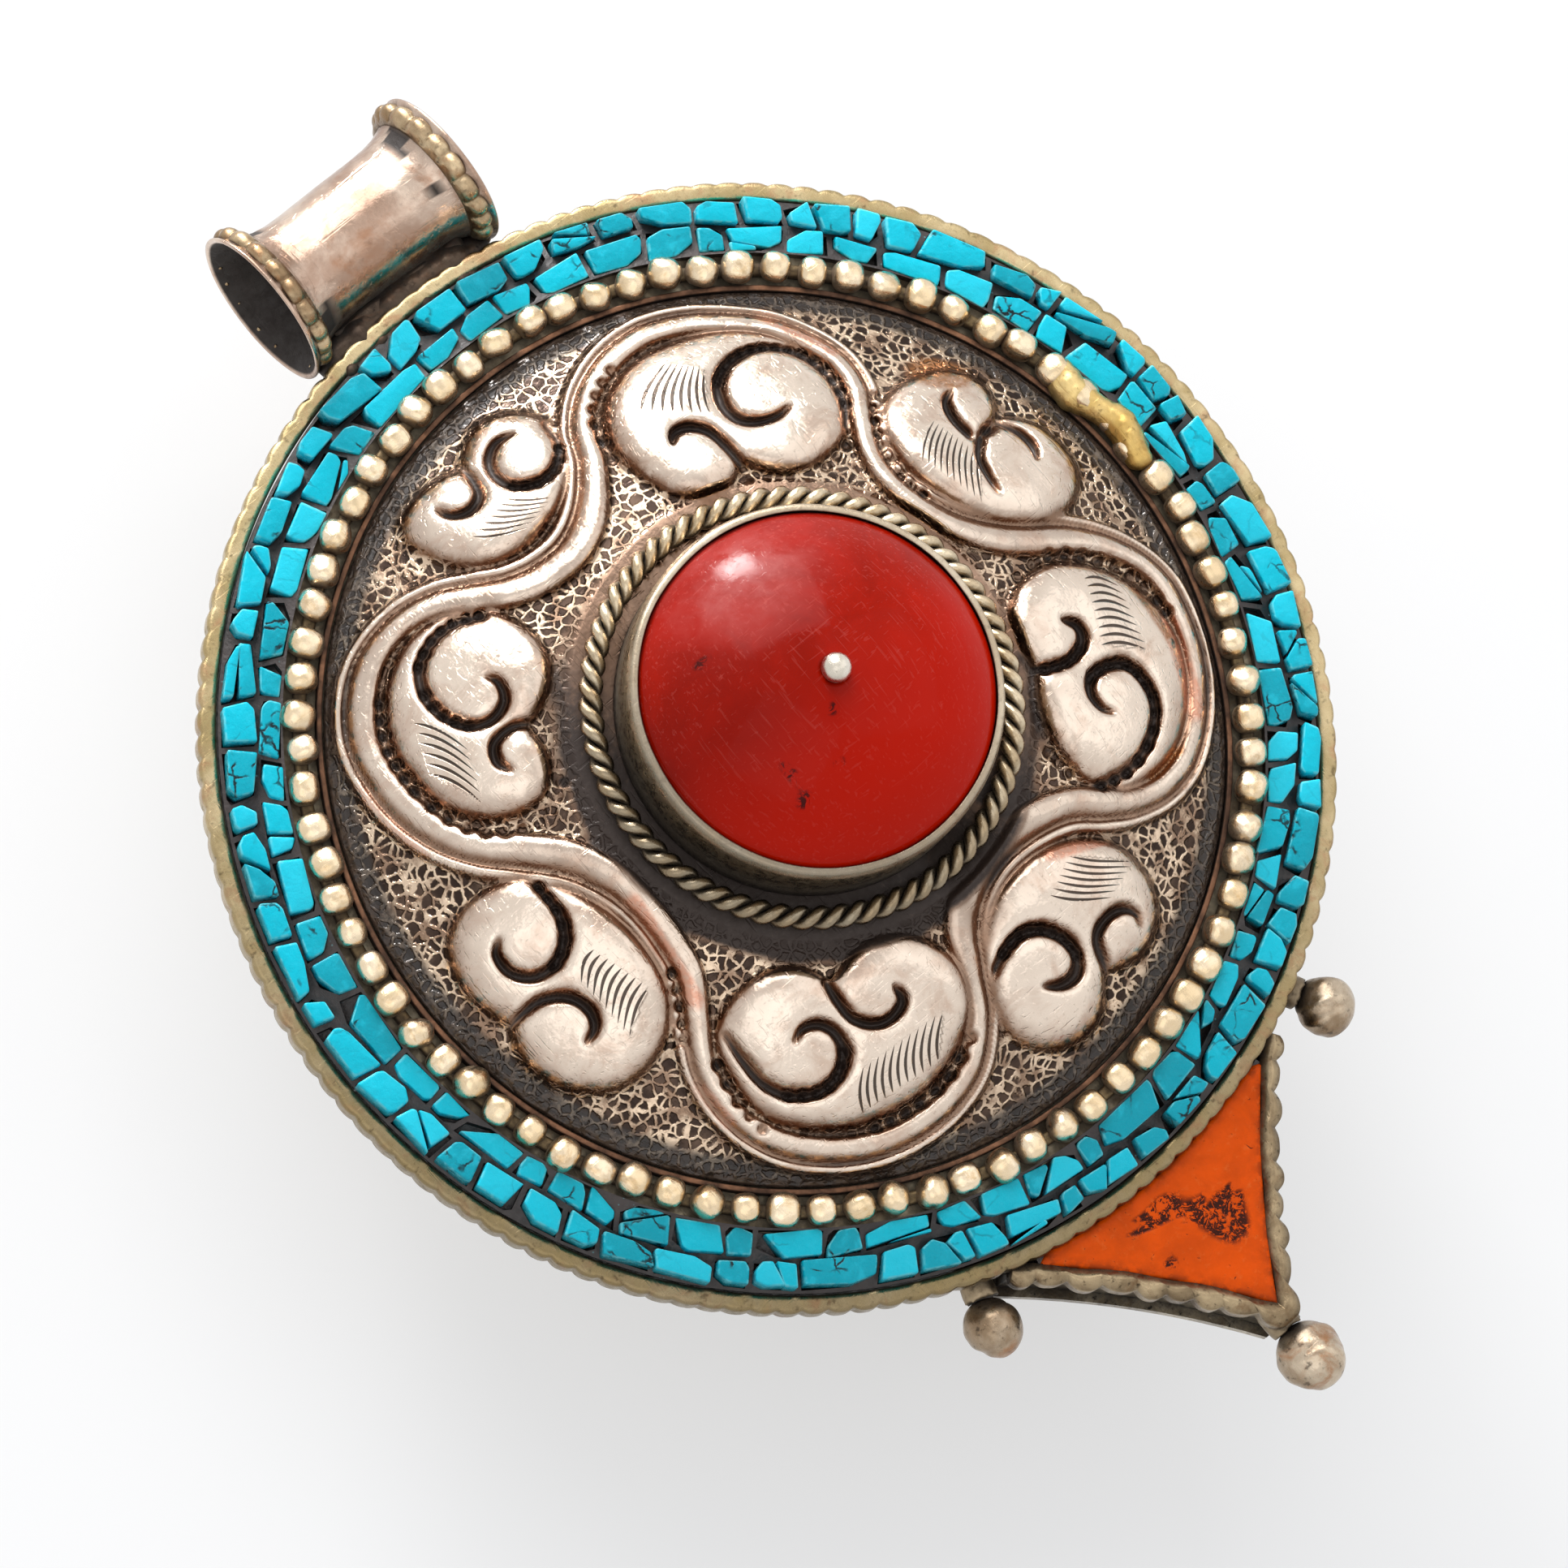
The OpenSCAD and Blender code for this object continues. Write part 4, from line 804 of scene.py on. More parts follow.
# Rows of struck dots along the outlines
DOT_ROWS = [
    [(8.3, 15.4), (9.2, 15.8), (10.4, 15.85), (11.6, 15.4), (12.6, 14.5), (13.1, 13.3), (13.1, 11.9),
     (12.6, 10.6)], [(1.4, 15.6), (2, 17.6), (3.2, 18.75), (4.8, 19.3)],
    [(12.2, 4.5), (12.1, 5.9), (12.4, 7.6), (13.1, 8.9), (14.3, 9.9)],
    [(13.4, -1.6), (15.6, -1.75), (17.2, -2.8), (18.4, -4.3), (19.1, -6), (19.4, -7.6)],
    [(9.9, -12.3), (11.5, -12.6), (13.4, -12.2), (14.9, -11.1), (15.35, -9.8), (15.1, -8.5), (14.2, -7.9),
     (12.9, -7.8)], [(11, -6.15), (12.2, -6.5), (13.4, -6.4)],
    [(0.3, -15.6), (1.5, -15.4), (2.6, -15.9), (3.35, -16.9), (3.5, -17.9)],
    [(-13.5, -6.0), (-14.1, -7.4), (-15, -8.8)], [(-12.4, -14.2), (-11.2, -15), (-10, -15), (-9.1, -14.3)],
    [(-9.6, -18.1), (-7.2, -18.6), (-5.2, -18.5), (-3.4, -17.8)],
    [(-14.3, -14.6), (-14.55, -12.8), (-14.3, -10.8)],
    [(-15.7, 1.4), (-15.8, 0), (-16.4, -1.4), (-17.4, -2.0)],
    [(-9, 13.6), (-10.2, 14.2), (-11.5, 14.2), (-12.8, 13.6)], [(-13.6, 12.3), (-13.7, 10.9), (-13.2, 9.7)],
    [(-15.2, 13.5), (-16.5, 11.4), (-16.9, 9), (-16.7, 6.8), (-15.9, 5.1), (-14.4, 4.1), (-12.8, 3.9),
     (-11.6, 4.6)], [(-3.3, 17.6), (-2.3, 16.95), (-1.1, 17), (-0.2, 17.7)], [(9.3, 8.6), (11.0, 8.9)],
    [(8.6, -9.4), (8.9, -10.8)],
]
# Chased strokes of a leaf: both ends of the first stroke, both ends of the last and their number
HATCHES = [
    ((3.5, 16.9), (6.8, 18.0), (6.4, 14.2), (8.2, 16.4), 8),
    ((13.1, 6.1), (15.3, 7.3), (14.2, 2.3), (16.1, 4.4), 10),
    ((16.2, -3.4), (17.6, -4.7), (14.3, -6.9), (16.5, -8.6), 9),
    ((3.4, -15.0), (6.2, -17.0), (5.8, -13.9), (8.9, -16.2), 7),
    ((-9.3, -15.4), (-10.4, -17.2), (-4.0, -15.8), (-5.6, -17.7), 11),
    ((-17.2, -3.1), (-15.9, -2.3), (-17.0, -7.1), (-14.8, -5.8), 9),
    ((-14.8, 12.1), (-13.9, 9.2), (-16.1, 9.2), (-15.2, 6.2), 6),
    ((-7.2, 16.9), (-4.8, 15.4), (-4.2, 17.4), (-2.4, 15.9), 7),
]
COPPER_WEAR = [((18.8, -8, .8), (17, -12.5, .7)), ((-18.7, 5, .35), (-18.7, 11, .35)),
               ((-15.6, -11, .4), (-15.4, -13.5, .4)), ((5.0, -13.3, .5), (9.0, -14.6, .5)),
               ((-12.9, -2, .5), (-13.4, -8, .5)), ((13, 17, .6), (14.3, 13, .5))]
BROWN_STAIN = [((17.4, 9.4, 1.3), (18.8, 8.2, 1.1)), ((18.3, -5.5, .35), (18, -8.8, .35)),
               ((12.5, -13.4, .3), (15, -13.4, .3))]

# The relief's grid: width of a cell and half the grid's width
CELL, HALF = 0.05, 23.2


def dome_top(radius):
    """Height of the plain domed plate at a radius."""
    t = np.clip((radius - CROWN_R) / (PLATE_R - CROWN_R), 0, 1)
    return CROWN_TOP - PLATE_RISE * (t - 0.05 * np.sin(math.pi * t))


def ease(value, low, high):
    """0 below low and 1 above high, smooth between."""
    t = np.clip((value - low) / (high - low), 0, 1)
    return t * t * (3 - 2 * t)


def flowing(points, closed=False, step=0.1):
    """A smooth line through the points, sampled every step millimetres. Values past x and y flow along."""
    p = np.array(points, float)
    p = np.vstack([p[-1], p, p[0], p[1]]) if closed else np.vstack([2 * p[0] - p[1], p, 2 * p[-1] - p[-2]])
    line = []
    for a, b, c, d in zip(p, p[1:], p[2:], p[3:]):
        t = np.linspace(0, 1, max(2, int(np.linalg.norm((c - b)[:2]) / step)), endpoint=False)[:, None]
        bend, twist = (2 * a - 5 * b + 4 * c - d) * t ** 2, (3 * b - a - 3 * c + d) * t ** 3
        line.append(0.5 * (2 * b + (c - a) * t + bend + twist))
    line = np.vstack(line)
    return line if closed else np.vstack([line, p[-2]])


class Relief:
    """The beaten height of the plate on a square grid."""

    def __init__(self):
        self.n = int(2 * HALF / CELL)
        self.height = np.zeros((self.n, self.n), np.float32)

    def window(self, x, y, reach):
        """The cells within reach of a point, and how far each lies from it."""
        i0, i1 = (int(np.clip((x + HALF + s * reach) / CELL, 0, self.n)) for s in (-1, 1))
        j0, j1 = (int(np.clip((y + HALF + s * reach) / CELL, 0, self.n)) for s in (-1, 1))
        across = (np.arange(i0, i1) + 0.5) * CELL - HALF - x
        along = (np.arange(j0, j1) + 0.5) * CELL - HALF - y
        return (slice(j0, j1), slice(i0, i1)), across[None, :], along[:, None]

    def inside(self, outline):
        """1 inside a closed outline and 0 outside."""
        found = np.zeros(self.height.shape, bool)
        across = (np.arange(self.n) + 0.5) * CELL - HALF
        for (xa, ya), (xb, yb) in zip(outline, np.roll(outline, -1, 0)):
            low, high = sorted((ya, yb))
            for j in range(math.ceil((low + HALF) / CELL - 0.5), math.ceil((high + HALF) / CELL - 0.5)):
                found[j] ^= across < xa + (xb - xa) * ((j + 0.5) * CELL - HALF - ya) / (yb - ya)
        return found.astype(np.float32)

    def stroke(self, line):
        """1 in the middle of a stroke along (x, y, half width), 0 beside it."""
        found = np.zeros_like(self.height)
        for x, y, half in line:
            where, dx, dy = self.window(x, y, half + 0.1)
            depth = np.clip((half + 0.05 - np.sqrt(dx * dx + dy * dy)) / 0.1, 0, 1)
            np.maximum(found[where], depth, out=found[where])
        return found

    def pillow(self, shape):
        """A beaten form over a shape: a steep foot and a round top that is higher where the form is wide."""
        foot, side, top, dome = (self.blurred(shape, reach) for reach in (0.1, 0.45, 1.0, 1.7))
        return foot * (0.16 + 0.36 * ease(side, 0.4, 1.0) + 0.4 * ease(top, 0.35, 1.0)
                       + 0.4 * ease(dome, 0.3, 1.0))

    def ribbon(self, line, rise):
        """The stem: a round main ridge with a thin one outside it and a groove between."""
        near = np.full_like(self.height, 9.0)
        side, width = np.zeros_like(self.height), np.ones_like(self.height)
        way = np.roll(line[:, :2], -1, 0) - np.roll(line[:, :2], 1, 0)
        way /= np.linalg.norm(way, axis=1)[:, None]
        for (x, y, half), (wx, wy) in zip(line, way):
            where, dx, dy = self.window(x, y, half * 1.35)
            gap = dx * dx + dy * dy
            closer = gap < near[where]
            near[where] = np.where(closer, gap, near[where])
            side[where] = np.where(closer, dx * wy - dy * wx, side[where])
            width[where] = np.where(closer, half, width[where])
        t = side / width
        main = np.sqrt(np.maximum(1 - ((t - 0.3) / 0.72) ** 2, 0))
        thin = 0.72 * np.sqrt(np.maximum(1 - ((t + 0.74) / 0.3) ** 2, 0))
        return rise * np.maximum(np.maximum(main, thin),
                                 0.3 * (np.abs(t) < 1)) * (np.sqrt(near) < width * 1.3)

    def carved(self, x, y, radius, depth):
        """Sinks a round hollow into the height."""
        where, dx, dy = self.window(x, y, radius)
        self.height[where] -= depth * np.maximum(1 - (dx * dx + dy * dy) / (radius * radius), 0)

    def blurred(self, grid, reach):
        """A grid softened over reach millimetres."""
        n = max(1, int(round(reach / CELL)))
        kernel = np.exp(-0.5 * (np.arange(-2 * n, 2 * n + 1) / n) ** 2)
        kernel /= kernel.sum()
        for axis in (0, 1):
            pad = [(2 * n, 2 * n) if a == axis else (0, 0) for a in (0, 1)]
            wide = np.pad(grid, pad, mode="edge")
            grid = sum(k * np.take(wide, range(i, i + self.n), axis) for i, k in enumerate(kernel))
        return grid.astype(np.float32)

    def spots(self, segments):
        """Soft patches along short lines, each with its own reach, as a share from 0 to 1."""
        kept, self.height = self.height, np.zeros_like(self.height)
        for start, end in segments:
            for x, y, radius in flowing([start, end]):
                self.carved(x, y, radius, -0.2)
        found, self.height = self.height, kept
        return np.clip(found * 1.4, 0, 1)

    def at(self, grid, x, y):
        """A grid's values at points between its cells."""
        u, v = (x + HALF) / CELL - 0.5, (y + HALF) / CELL - 0.5
        i, j = np.clip(u.astype(int), 0, self.n - 2), np.clip(v.astype(int), 0, self.n - 2)
        s, t = np.clip(u - i, 0, 1), np.clip(v - j, 0, 1)
        return ((grid[j, i] * (1 - s) + grid[j, i + 1] * s) * (1 - t)
                + (grid[j + 1, i] * (1 - s) + grid[j + 1, i + 1] * s) * t)


def beaten_relief(stem_share):
    """Every form of the scrollwork, beaten up, chased and rubbed."""
    r = Relief()
    whole, cuts = np.zeros_like(r.height), np.zeros_like(r.height)
    for outline, grooves in LOBES:
        whole = np.maximum(whole, r.inside(flowing(outline, closed=True)))
        for groove in grooves:
            cuts = np.maximum(cuts, r.stroke(flowing(groove) * [1, 1, 0.62]))
    whole = np.clip(r.blurred(whole, 0.2) * 3.2, 0, 1)
    stem = flowing(STEM, closed=True)
    stem[:, 2] *= 1.12 * stem_share
    stem_height = r.ribbon(stem, 0.85)
    lobes = 0.3 * r.pillow(whole) + 0.8 * r.pillow(whole * (1 - cuts))
    r.cuts = r.blurred(cuts * whole, 0.06)
    r.height = np.maximum(lobes, r.blurred(stem_height, 0.07))
    draw = np.random.default_rng(3)
    for reach, deep in ((0.9, 0.04), (0.3, 0.012)):
        dents = r.blurred(draw.normal(size=r.height.shape), reach)
        r.height += deep * dents / dents.std() * np.clip(r.height * 2, 0, 1)
    for row in DOT_ROWS:
        for x, y in flowing(row, step=0.8):
            r.carved(x, y, 0.34, 0.34)
    r.height = np.maximum(r.blurred(r.height, 0.05), -0.2)
    return r


def hatch_fields(x, y):
    """Stroke count across each hatched leaf, and how deep a point lies inside the field."""
    phase, inside = np.zeros_like(x), np.zeros_like(x)

    def off_line(p, q):
        dx, dy = q[0] - p[0], q[1] - p[1]
        return ((x - p[0]) * dy - (y - p[1]) * dx) / math.hypot(dx, dy)

    for a1, b1, a2, b2, strokes in HATCHES:
        first, last = off_line(a1, b1), off_line(a2, b2)
        start, end = off_line(a1, a2), off_line(b1, b2)
        across = first / (first - last + 1e-9)
        along = start / (start - end + 1e-9)
        within = (across > 0) & (across < 1) & (along > 0) & (along < 1)
        here = within & (first * last < 0) & (start * end < 0)
        bow = 0.6 * np.sin(math.pi * np.clip(along, 0, 1))
        phase = np.where(here, across * strokes + bow, phase)
        depth = np.sin(math.pi * np.clip(along, 0, 1)) ** 0.6
        inside = np.where(here, depth, inside)
    return phase, inside


def scroll_plate_mesh(props):
    """The closed skin of the plate: fine in front, plain behind."""
    turns, rings, back_turns = 768, 122, 96
    relief = beaten_relief(props.stem_share)
    angle = np.arange(turns) * 2 * math.pi / turns
    radii = np.linspace(CROWN_R, PLATE_R, rings)
    rr, aa = np.meshgrid(radii, angle, indexing="ij")
    x, y = rr * np.cos(aa), rr * np.sin(aa)
    fade = np.clip((rr - CROWN_R) / 0.5, 0, 1) * np.clip((RELIEF_END - rr) / 0.5, 0, 1)
    fade = fade * fade * (3 - 2 * fade)
    high = relief.at(relief.height, x, y)
    z = dome_top(rr) + props.relief * high * fade + ROLL_RISE * np.exp(-((rr - ROLL_R) / 0.16) ** 2)
    soft, broad = relief.blurred(relief.height, 0.3), relief.blurred(relief.height, 0.75)
    ridge = relief.at(relief.height - soft, x, y)
    hollow = relief.at(broad - relief.height, x, y)
    deep = relief.at(soft - relief.height, x, y)
    steep = np.hypot(*np.gradient(relief.blurred(relief.height, 0.1), CELL))
    # Patina and painted shade in the hollows and grooves.
    dirt_and_shade = 0.25 * hollow * (high < 0.6) + 1.5 * deep + 0.35 * relief.at(relief.cuts, x, y) - 0.14
    values = {
        "worn": np.clip(0.12 + 2.9 * ridge + 0.6 * (high - 0.5), 0, 1),
        # Also a ring of patina and painted shadow by the bezel, darker toward -x, -y.
        "patina_and_shade": np.clip(dirt_and_shade + ease(SHADE_R - rr, 0, 1.4) * (0.6 - 0.4 * (x + y) / rr), 0, 1),
        "ground": np.clip((0.34 - high) / 0.2, 0, 1) * fade,
        "slope": np.clip((relief.at(steep, x, y) - 0.35) / 0.9, 0, 1),
        "edge_ring": np.clip((rr - DARK_EDGE_R) / 0.5, 0, 1) * np.clip((0.5 - high) / 0.2, 0, 1),
        "copper": relief.at(relief.spots(COPPER_WEAR), x, y) * np.clip(high * 2 - 0.6, 0, 1),
        "stain": relief.at(relief.spots(BROWN_STAIN), x, y),
    }
    values["hatch"], values["hatch_in"] = hatch_fields(x, y)
    front = np.stack([x, y, z], -1).reshape(-1, 3)
    count = len(front)

    def ring(radius, level):
        a = np.arange(back_turns) * 2 * math.pi / back_turns
        return np.stack([radius * np.cos(a), radius * np.sin(a), np.full(back_turns, level)], -1)

    back_radii = [PLATE_R, PLATE_R - PLATE_SEAT, *np.linspace(PLATE_R - PLATE_SEAT, CROWN_R, 6)[1:],
                  PIN_HOLE_R]
    domed = dome_top(np.array(back_radii[2:7])) - PLATE_T
    levels = [SHELF_TOP, SHELF_TOP, *domed, CROWN_TOP - PLATE_T]
    back = [ring(r, z) for r, z in zip(back_radii, levels)] + [ring(PIN_HOLE_R, CROWN_TOP)]
    points = np.vstack([front, *back])
    faces = [(i * turns + k, (i + 1) * turns + k,
              (i + 1) * turns + (k + 1) % turns, i * turns + (k + 1) % turns)
             for i in range(rings - 1) for k in range(turns)]
    share = turns // back_turns

    def fan(ring_start, fine_start, flip):
        for k in range(back_turns):
            m = (k + 1) % back_turns
            fine = [fine_start + (k * share + j) % turns for j in range(share + 1)]
            face = [ring_start + m, ring_start + k, *fine]
            faces.append(face[::-1] if flip else face)

    fan(count, (rings - 1) * turns, False)
    for b in range(len(back) - 1):
        s, t = count + b * back_turns, count + (b + 1) * back_turns
        faces += [(s + k, t + k, t + (k + 1) % back_turns, s + (k + 1) % back_turns)
                  for k in range(back_turns)]
    fan(count + (len(back) - 1) * back_turns, 0, True)
    pad = len(points) - count
    values = {k: np.concatenate([v.reshape(-1), np.zeros(pad)]) for k, v in values.items()}
    return mesh_piece("scroll_plate_skin", points, faces, values=values)


# Geometry trees

# Power of the beads' outline: 2 is a round ball, and more is squarer
SQUARENESS = 2.7


def bead_ring_tree():
    """Uneven beads round a ring, turned to lie in its plane."""
    w, given = new_tree("Bead Ring", [("Count", "Int"), ("Ring Radius", "Float"), ("Bead Diameter", "Float"),
                                      ("Height", "Float"), ("Flatness", "Float"), ("Unevenness", "Float"),
                                      ("Seed", "Int"), ("Centre", "Vector"), ("Turn", "Vector"),
                                      ("Material", "Material")])
    circle = w.got("GeometryNodeMeshCircle", {"Vertices": given["Count"], "Radius": given["Ring Radius"]})
    ball = w.got("GeometryNodeMeshIcoSphere", {"Radius": 1.0, "Subdivisions": 3})
    place = w.got("GeometryNodeInputPosition")
    at = w.add("ShaderNodeSeparateXYZ", {0: place}).outputs
    cubed = [w.math("POWER", w.math("ABSOLUTE", at[i]), SQUARENESS) for i in range(3)]
    norm = w.math("POWER", w.plus(w.plus(cubed[0], cubed[1]), cubed[2]), 1 / SQUARENESS)
    squarish = w.math("DIVIDE", w.times(given["Bead Diameter"], 0.48), norm)
    bead = w.got("GeometryNodeSetPosition", {"Geometry": ball, "Position": w.scaled(place, squarish)})
    spread = given["Unevenness"]
    size = w.drawn((-1, -1, -1), (1, 1, 1), given["Seed"])
    scale = w.got("ShaderNodeVectorMath", {0: size, 1: w.vector(spread, spread, spread),
                                           2: w.vector(1.0, 1.0, given["Flatness"])},
                  operation="MULTIPLY_ADD")
    index = w.got("GeometryNodeInputIndex")
    angle = w.times(w.math("DIVIDE", index, given["Count"]), math.tau)
    skew = w.drawn(-0.5, 0.5, given["Seed"])
    turned = w.got("FunctionNodeEulerToRotation", {0: w.vector(skew, skew, w.plus(angle, skew))})
    placed = w.got("GeometryNodeInstanceOnPoints", {"Points": circle, "Instance": bead,
                                                    "Rotation": turned, "Scale": scale})
    nudge = w.drawn((-1, -1, -0.4), (1, 1, 0.4), w.plus(given["Seed"], 1.0))
    reach = w.times(w.times(given["Bead Diameter"], spread), 0.8)
    nudged = w.got("GeometryNodeTranslateInstances", {"Instances": placed,
                                                      "Translation": w.scaled(nudge, reach)})
    tone = w.drawn(0.0, 1.0, w.plus(given["Seed"], 2.0))
    toned = w.got("GeometryNodeStoreNamedAttribute", {"Geometry": nudged, "Name": "tone", "Value": tone},
                  data_type="FLOAT", domain="INSTANCE")
    real = w.got("GeometryNodeRealizeInstances", {"Geometry": toned})
    lifted = w.got("GeometryNodeTransform", {"Geometry": real,
                                             "Translation": w.vector(z=given["Height"])})
    lean = w.got("FunctionNodeEulerToRotation", {0: given["Turn"]})
    moved = w.got("GeometryNodeTransform", {"Geometry": lifted, "Translation": given["Centre"],
                                            "Rotation": lean})
    return close_tree(w, moved, given["Material"])


def rope_tree():
    """Two strands twisted round each other and closed into a ring."""
    w, given = new_tree("Twisted Wire", [("Ring Radius", "Float"), ("Strand Diameter", "Float"),
                                         ("Twist Radius", "Float"), ("Turns", "Int"), ("Height", "Float"),
                                         ("Steps", "Int"), ("Sides", "Int"), ("Material", "Material")])
    circle = w.got("GeometryNodeCurvePrimitiveCircle",
                   {"Resolution": given["Steps"], "Radius": given["Ring Radius"]})
    round_ = w.got("GeometryNodeCurvePrimitiveCircle", {"Resolution": given["Sides"],
                                                        "Radius": w.times(given["Strand Diameter"], 0.5)})
    index = w.got("GeometryNodeInputIndex")
    around = w.times(w.math("DIVIDE", index, given["Steps"]), math.tau)
    join = w.add("GeometryNodeJoinGeometry")
    for phase in (0.0, math.pi):
        twist = w.plus(w.times(around, given["Turns"]), phase)
        reach = w.math("MULTIPLY_ADD", given["Twist Radius"], w.math("COSINE", twist), given["Ring Radius"])
        level = w.math("MULTIPLY_ADD", given["Twist Radius"], w.math("SINE", twist), given["Height"])
        place = w.vector(w.times(reach, w.math("COSINE", around)), w.times(reach, w.math("SINE", around)),
                         level)
        strand = w.got("GeometryNodeSetPosition", {"Geometry": circle, "Position": place})
        tube = w.got("GeometryNodeCurveToMesh", {"Curve": strand, "Profile Curve": round_})
        w.tree.links.new(tube, join.inputs[0])
    return close_tree(w, join.outputs[0], given["Material"])


def notch_tree():
    """Narrow notches with round lumps between them, pressed into the outer edge of a ring."""
    w, given = new_tree("Notched Edge", [("Notches", "Int"), ("Depth", "Float"), ("Inner Radius", "Float"),
                                         ("Outer Radius", "Float"), ("Material", "Material")])
    place = w.got("GeometryNodeInputPosition")
    xyz = w.add("ShaderNodeSeparateXYZ", {0: place}).outputs
    angle = w.math("ARCTAN2", xyz[1], xyz[0])
    radius = w.math("SQRT", w.plus(w.math("POWER", xyz[0], 2.0), w.math("POWER", xyz[1], 2.0)))
    drift = w.times(w.math("SINE", w.times(angle, 5.0)), 0.35)
    swing = w.math("MULTIPLY_ADD", w.times(angle, 0.5), given["Notches"], drift)
    crest = w.math("ABSOLUTE", w.math("SINE", swing))
    bite = w.math("POWER", w.math("SUBTRACT", 1.0, crest), 1.4)
    share = w.got("ShaderNodeMapRange", {"Value": radius, "From Min": given["Inner Radius"],
                                         "From Max": given["Outer Radius"]})
    uneven = w.math("MULTIPLY_ADD", w.math("SINE", w.times(angle, 11.0)), 0.25, 0.85)
    cut = w.times(w.times(w.times(bite, given["Depth"]), w.math("POWER", share, 1.5)), uneven)
    inwards = w.got("ShaderNodeVectorMath", {0: place, 1: (-1, -1, 0)}, operation="MULTIPLY")
    pressed = w.got("GeometryNodeSetPosition", {"Geometry": given["Geometry"],
                                                "Offset": w.scaled(inwards, w.math("DIVIDE", cut, radius))})
    return close_tree(w, pressed, given["Material"])


# Sizes of the rings in millimetres, as inner radius, outer radius, bottom and top
COVER_R, COVER_T = 27.7, 0.8
FLANGE = (26.34, 26.94, COVER_T, 3.4)
CASE_WALL = (27.0, 27.7, COVER_T, 4.2)
RIM = (28.05, 29.0, 4.2, 5.6)
BEAD_CORE = (23.75, 24.45, SHELF_TOP, 6.75)
COPPER_STRIP = (22.97, 23.27, SHELF_TOP, 6.7)
BEAD_RING_R, BEAD_LEVEL = 24.095, 6.85
ROPE_R, ROPE_LEVEL, STRAND_D, TWIST_R = 10.61, 12.72, 0.62, 0.32

# Points round a ring, round the rim wire with twelve for each notch, and along one turn of the rope
RING_TURNS, RIM_TURNS, ROPE_STEPS = 256, 1656, 22


# Operators

class GHAU_OT_back_cover(bpy.types.Operator):
    """Lift-off back cover: plate and the flange that grips the case wall"""
    bl_idname = "ghau.back_cover"
    bl_label = "Back Cover"

    def execute(self, context):
        metal = old_metal("cover_metal", (168, 154, 130), (58, 46, 36), (196, 184, 160), 0.38, 1.4,
                          warm=(156, 122, 86))
        profile = [(0, 0), *softened([(COVER_R, 0), (COVER_R, COVER_T)], 0.18), (0, COVER_T)]
        plate = lathe("cover_plate", profile, RING_TURNS)
        dress(plate, metal, "back_cover", "case_metal", "lid_plate")
        flange = lathe("cover_flange", softened(section(*FLANGE), 0.12), RING_TURNS)
        dress(flange, metal, "back_cover", "case_metal", "lid_flange")
        return {"FINISHED"}


class GHAU_OT_case(bpy.types.Operator):
    """Case wall and the channel plate that carries the border and the scroll plate"""
    bl_idname = "ghau.case"
    bl_label = "Case"

    def execute(self, context):
        metal = old_metal("case_metal", (160, 146, 122), (54, 44, 34), (190, 178, 152), 0.36, 1.0,
                          warm=(150, 116, 80))
        wall = lathe("case_wall_strip", softened(section(*CASE_WALL), 0.1), RING_TURNS)
        dress(wall, metal, "case", "case_metal", "case_wall")
        paint("channel_plate", metal)
        return {"FINISHED"}


class GHAU_OT_rim_wire(bpy.types.Operator):
    """Notched rim wire round the front"""
    bl_idname = "ghau.rim_wire"
    bl_label = "Rim Wire"

    def execute(self, context):
        props = context.scene.ghau_border
        # The rim wire gets oxide and painted shade toward its -x, -y side.
        metal = old_metal("rim_brass", (168, 148, 106), (48, 35, 24), (206, 186, 146), 0.26, 0.7,
                          dirt_and_shade=0.9, reach=0.5, warm=(178, 138, 104), pits=0.55,
                          tarnish_and_shade=(-0.6, -0.8, -8, 26, 0.6))
        ring = lathe("rim_wire_notched", softened(section(*RIM), 0.3, 4), RIM_TURNS,
                     lambda a, r, z: (0.05 * waves(a, 15, 4, 22) * (r > 28.4),
                                      0.05 * waves(a, 5, 3, 24) * (z > 5)))
        grown(ring.name, notch_tree(), {"Notches": props.rim_notches, "Depth": props.notch_depth,
                                        "Inner Radius": 28.3 * MM, "Outer Radius": RIM[1] * MM,
                                        "Material": metal},
              ring)
        dress(ring, metal, "case", "old_brass", "rim_wire")
        return {"FINISHED"}


# A chip from its bottom to its top: how far each row lies inside the outline, and how far below the top
CHIP_STEPS = ((0.0, None), (0.0, 0.11), (0.02, 0.04), (0.06, 0.01), (0.14, 0.0))


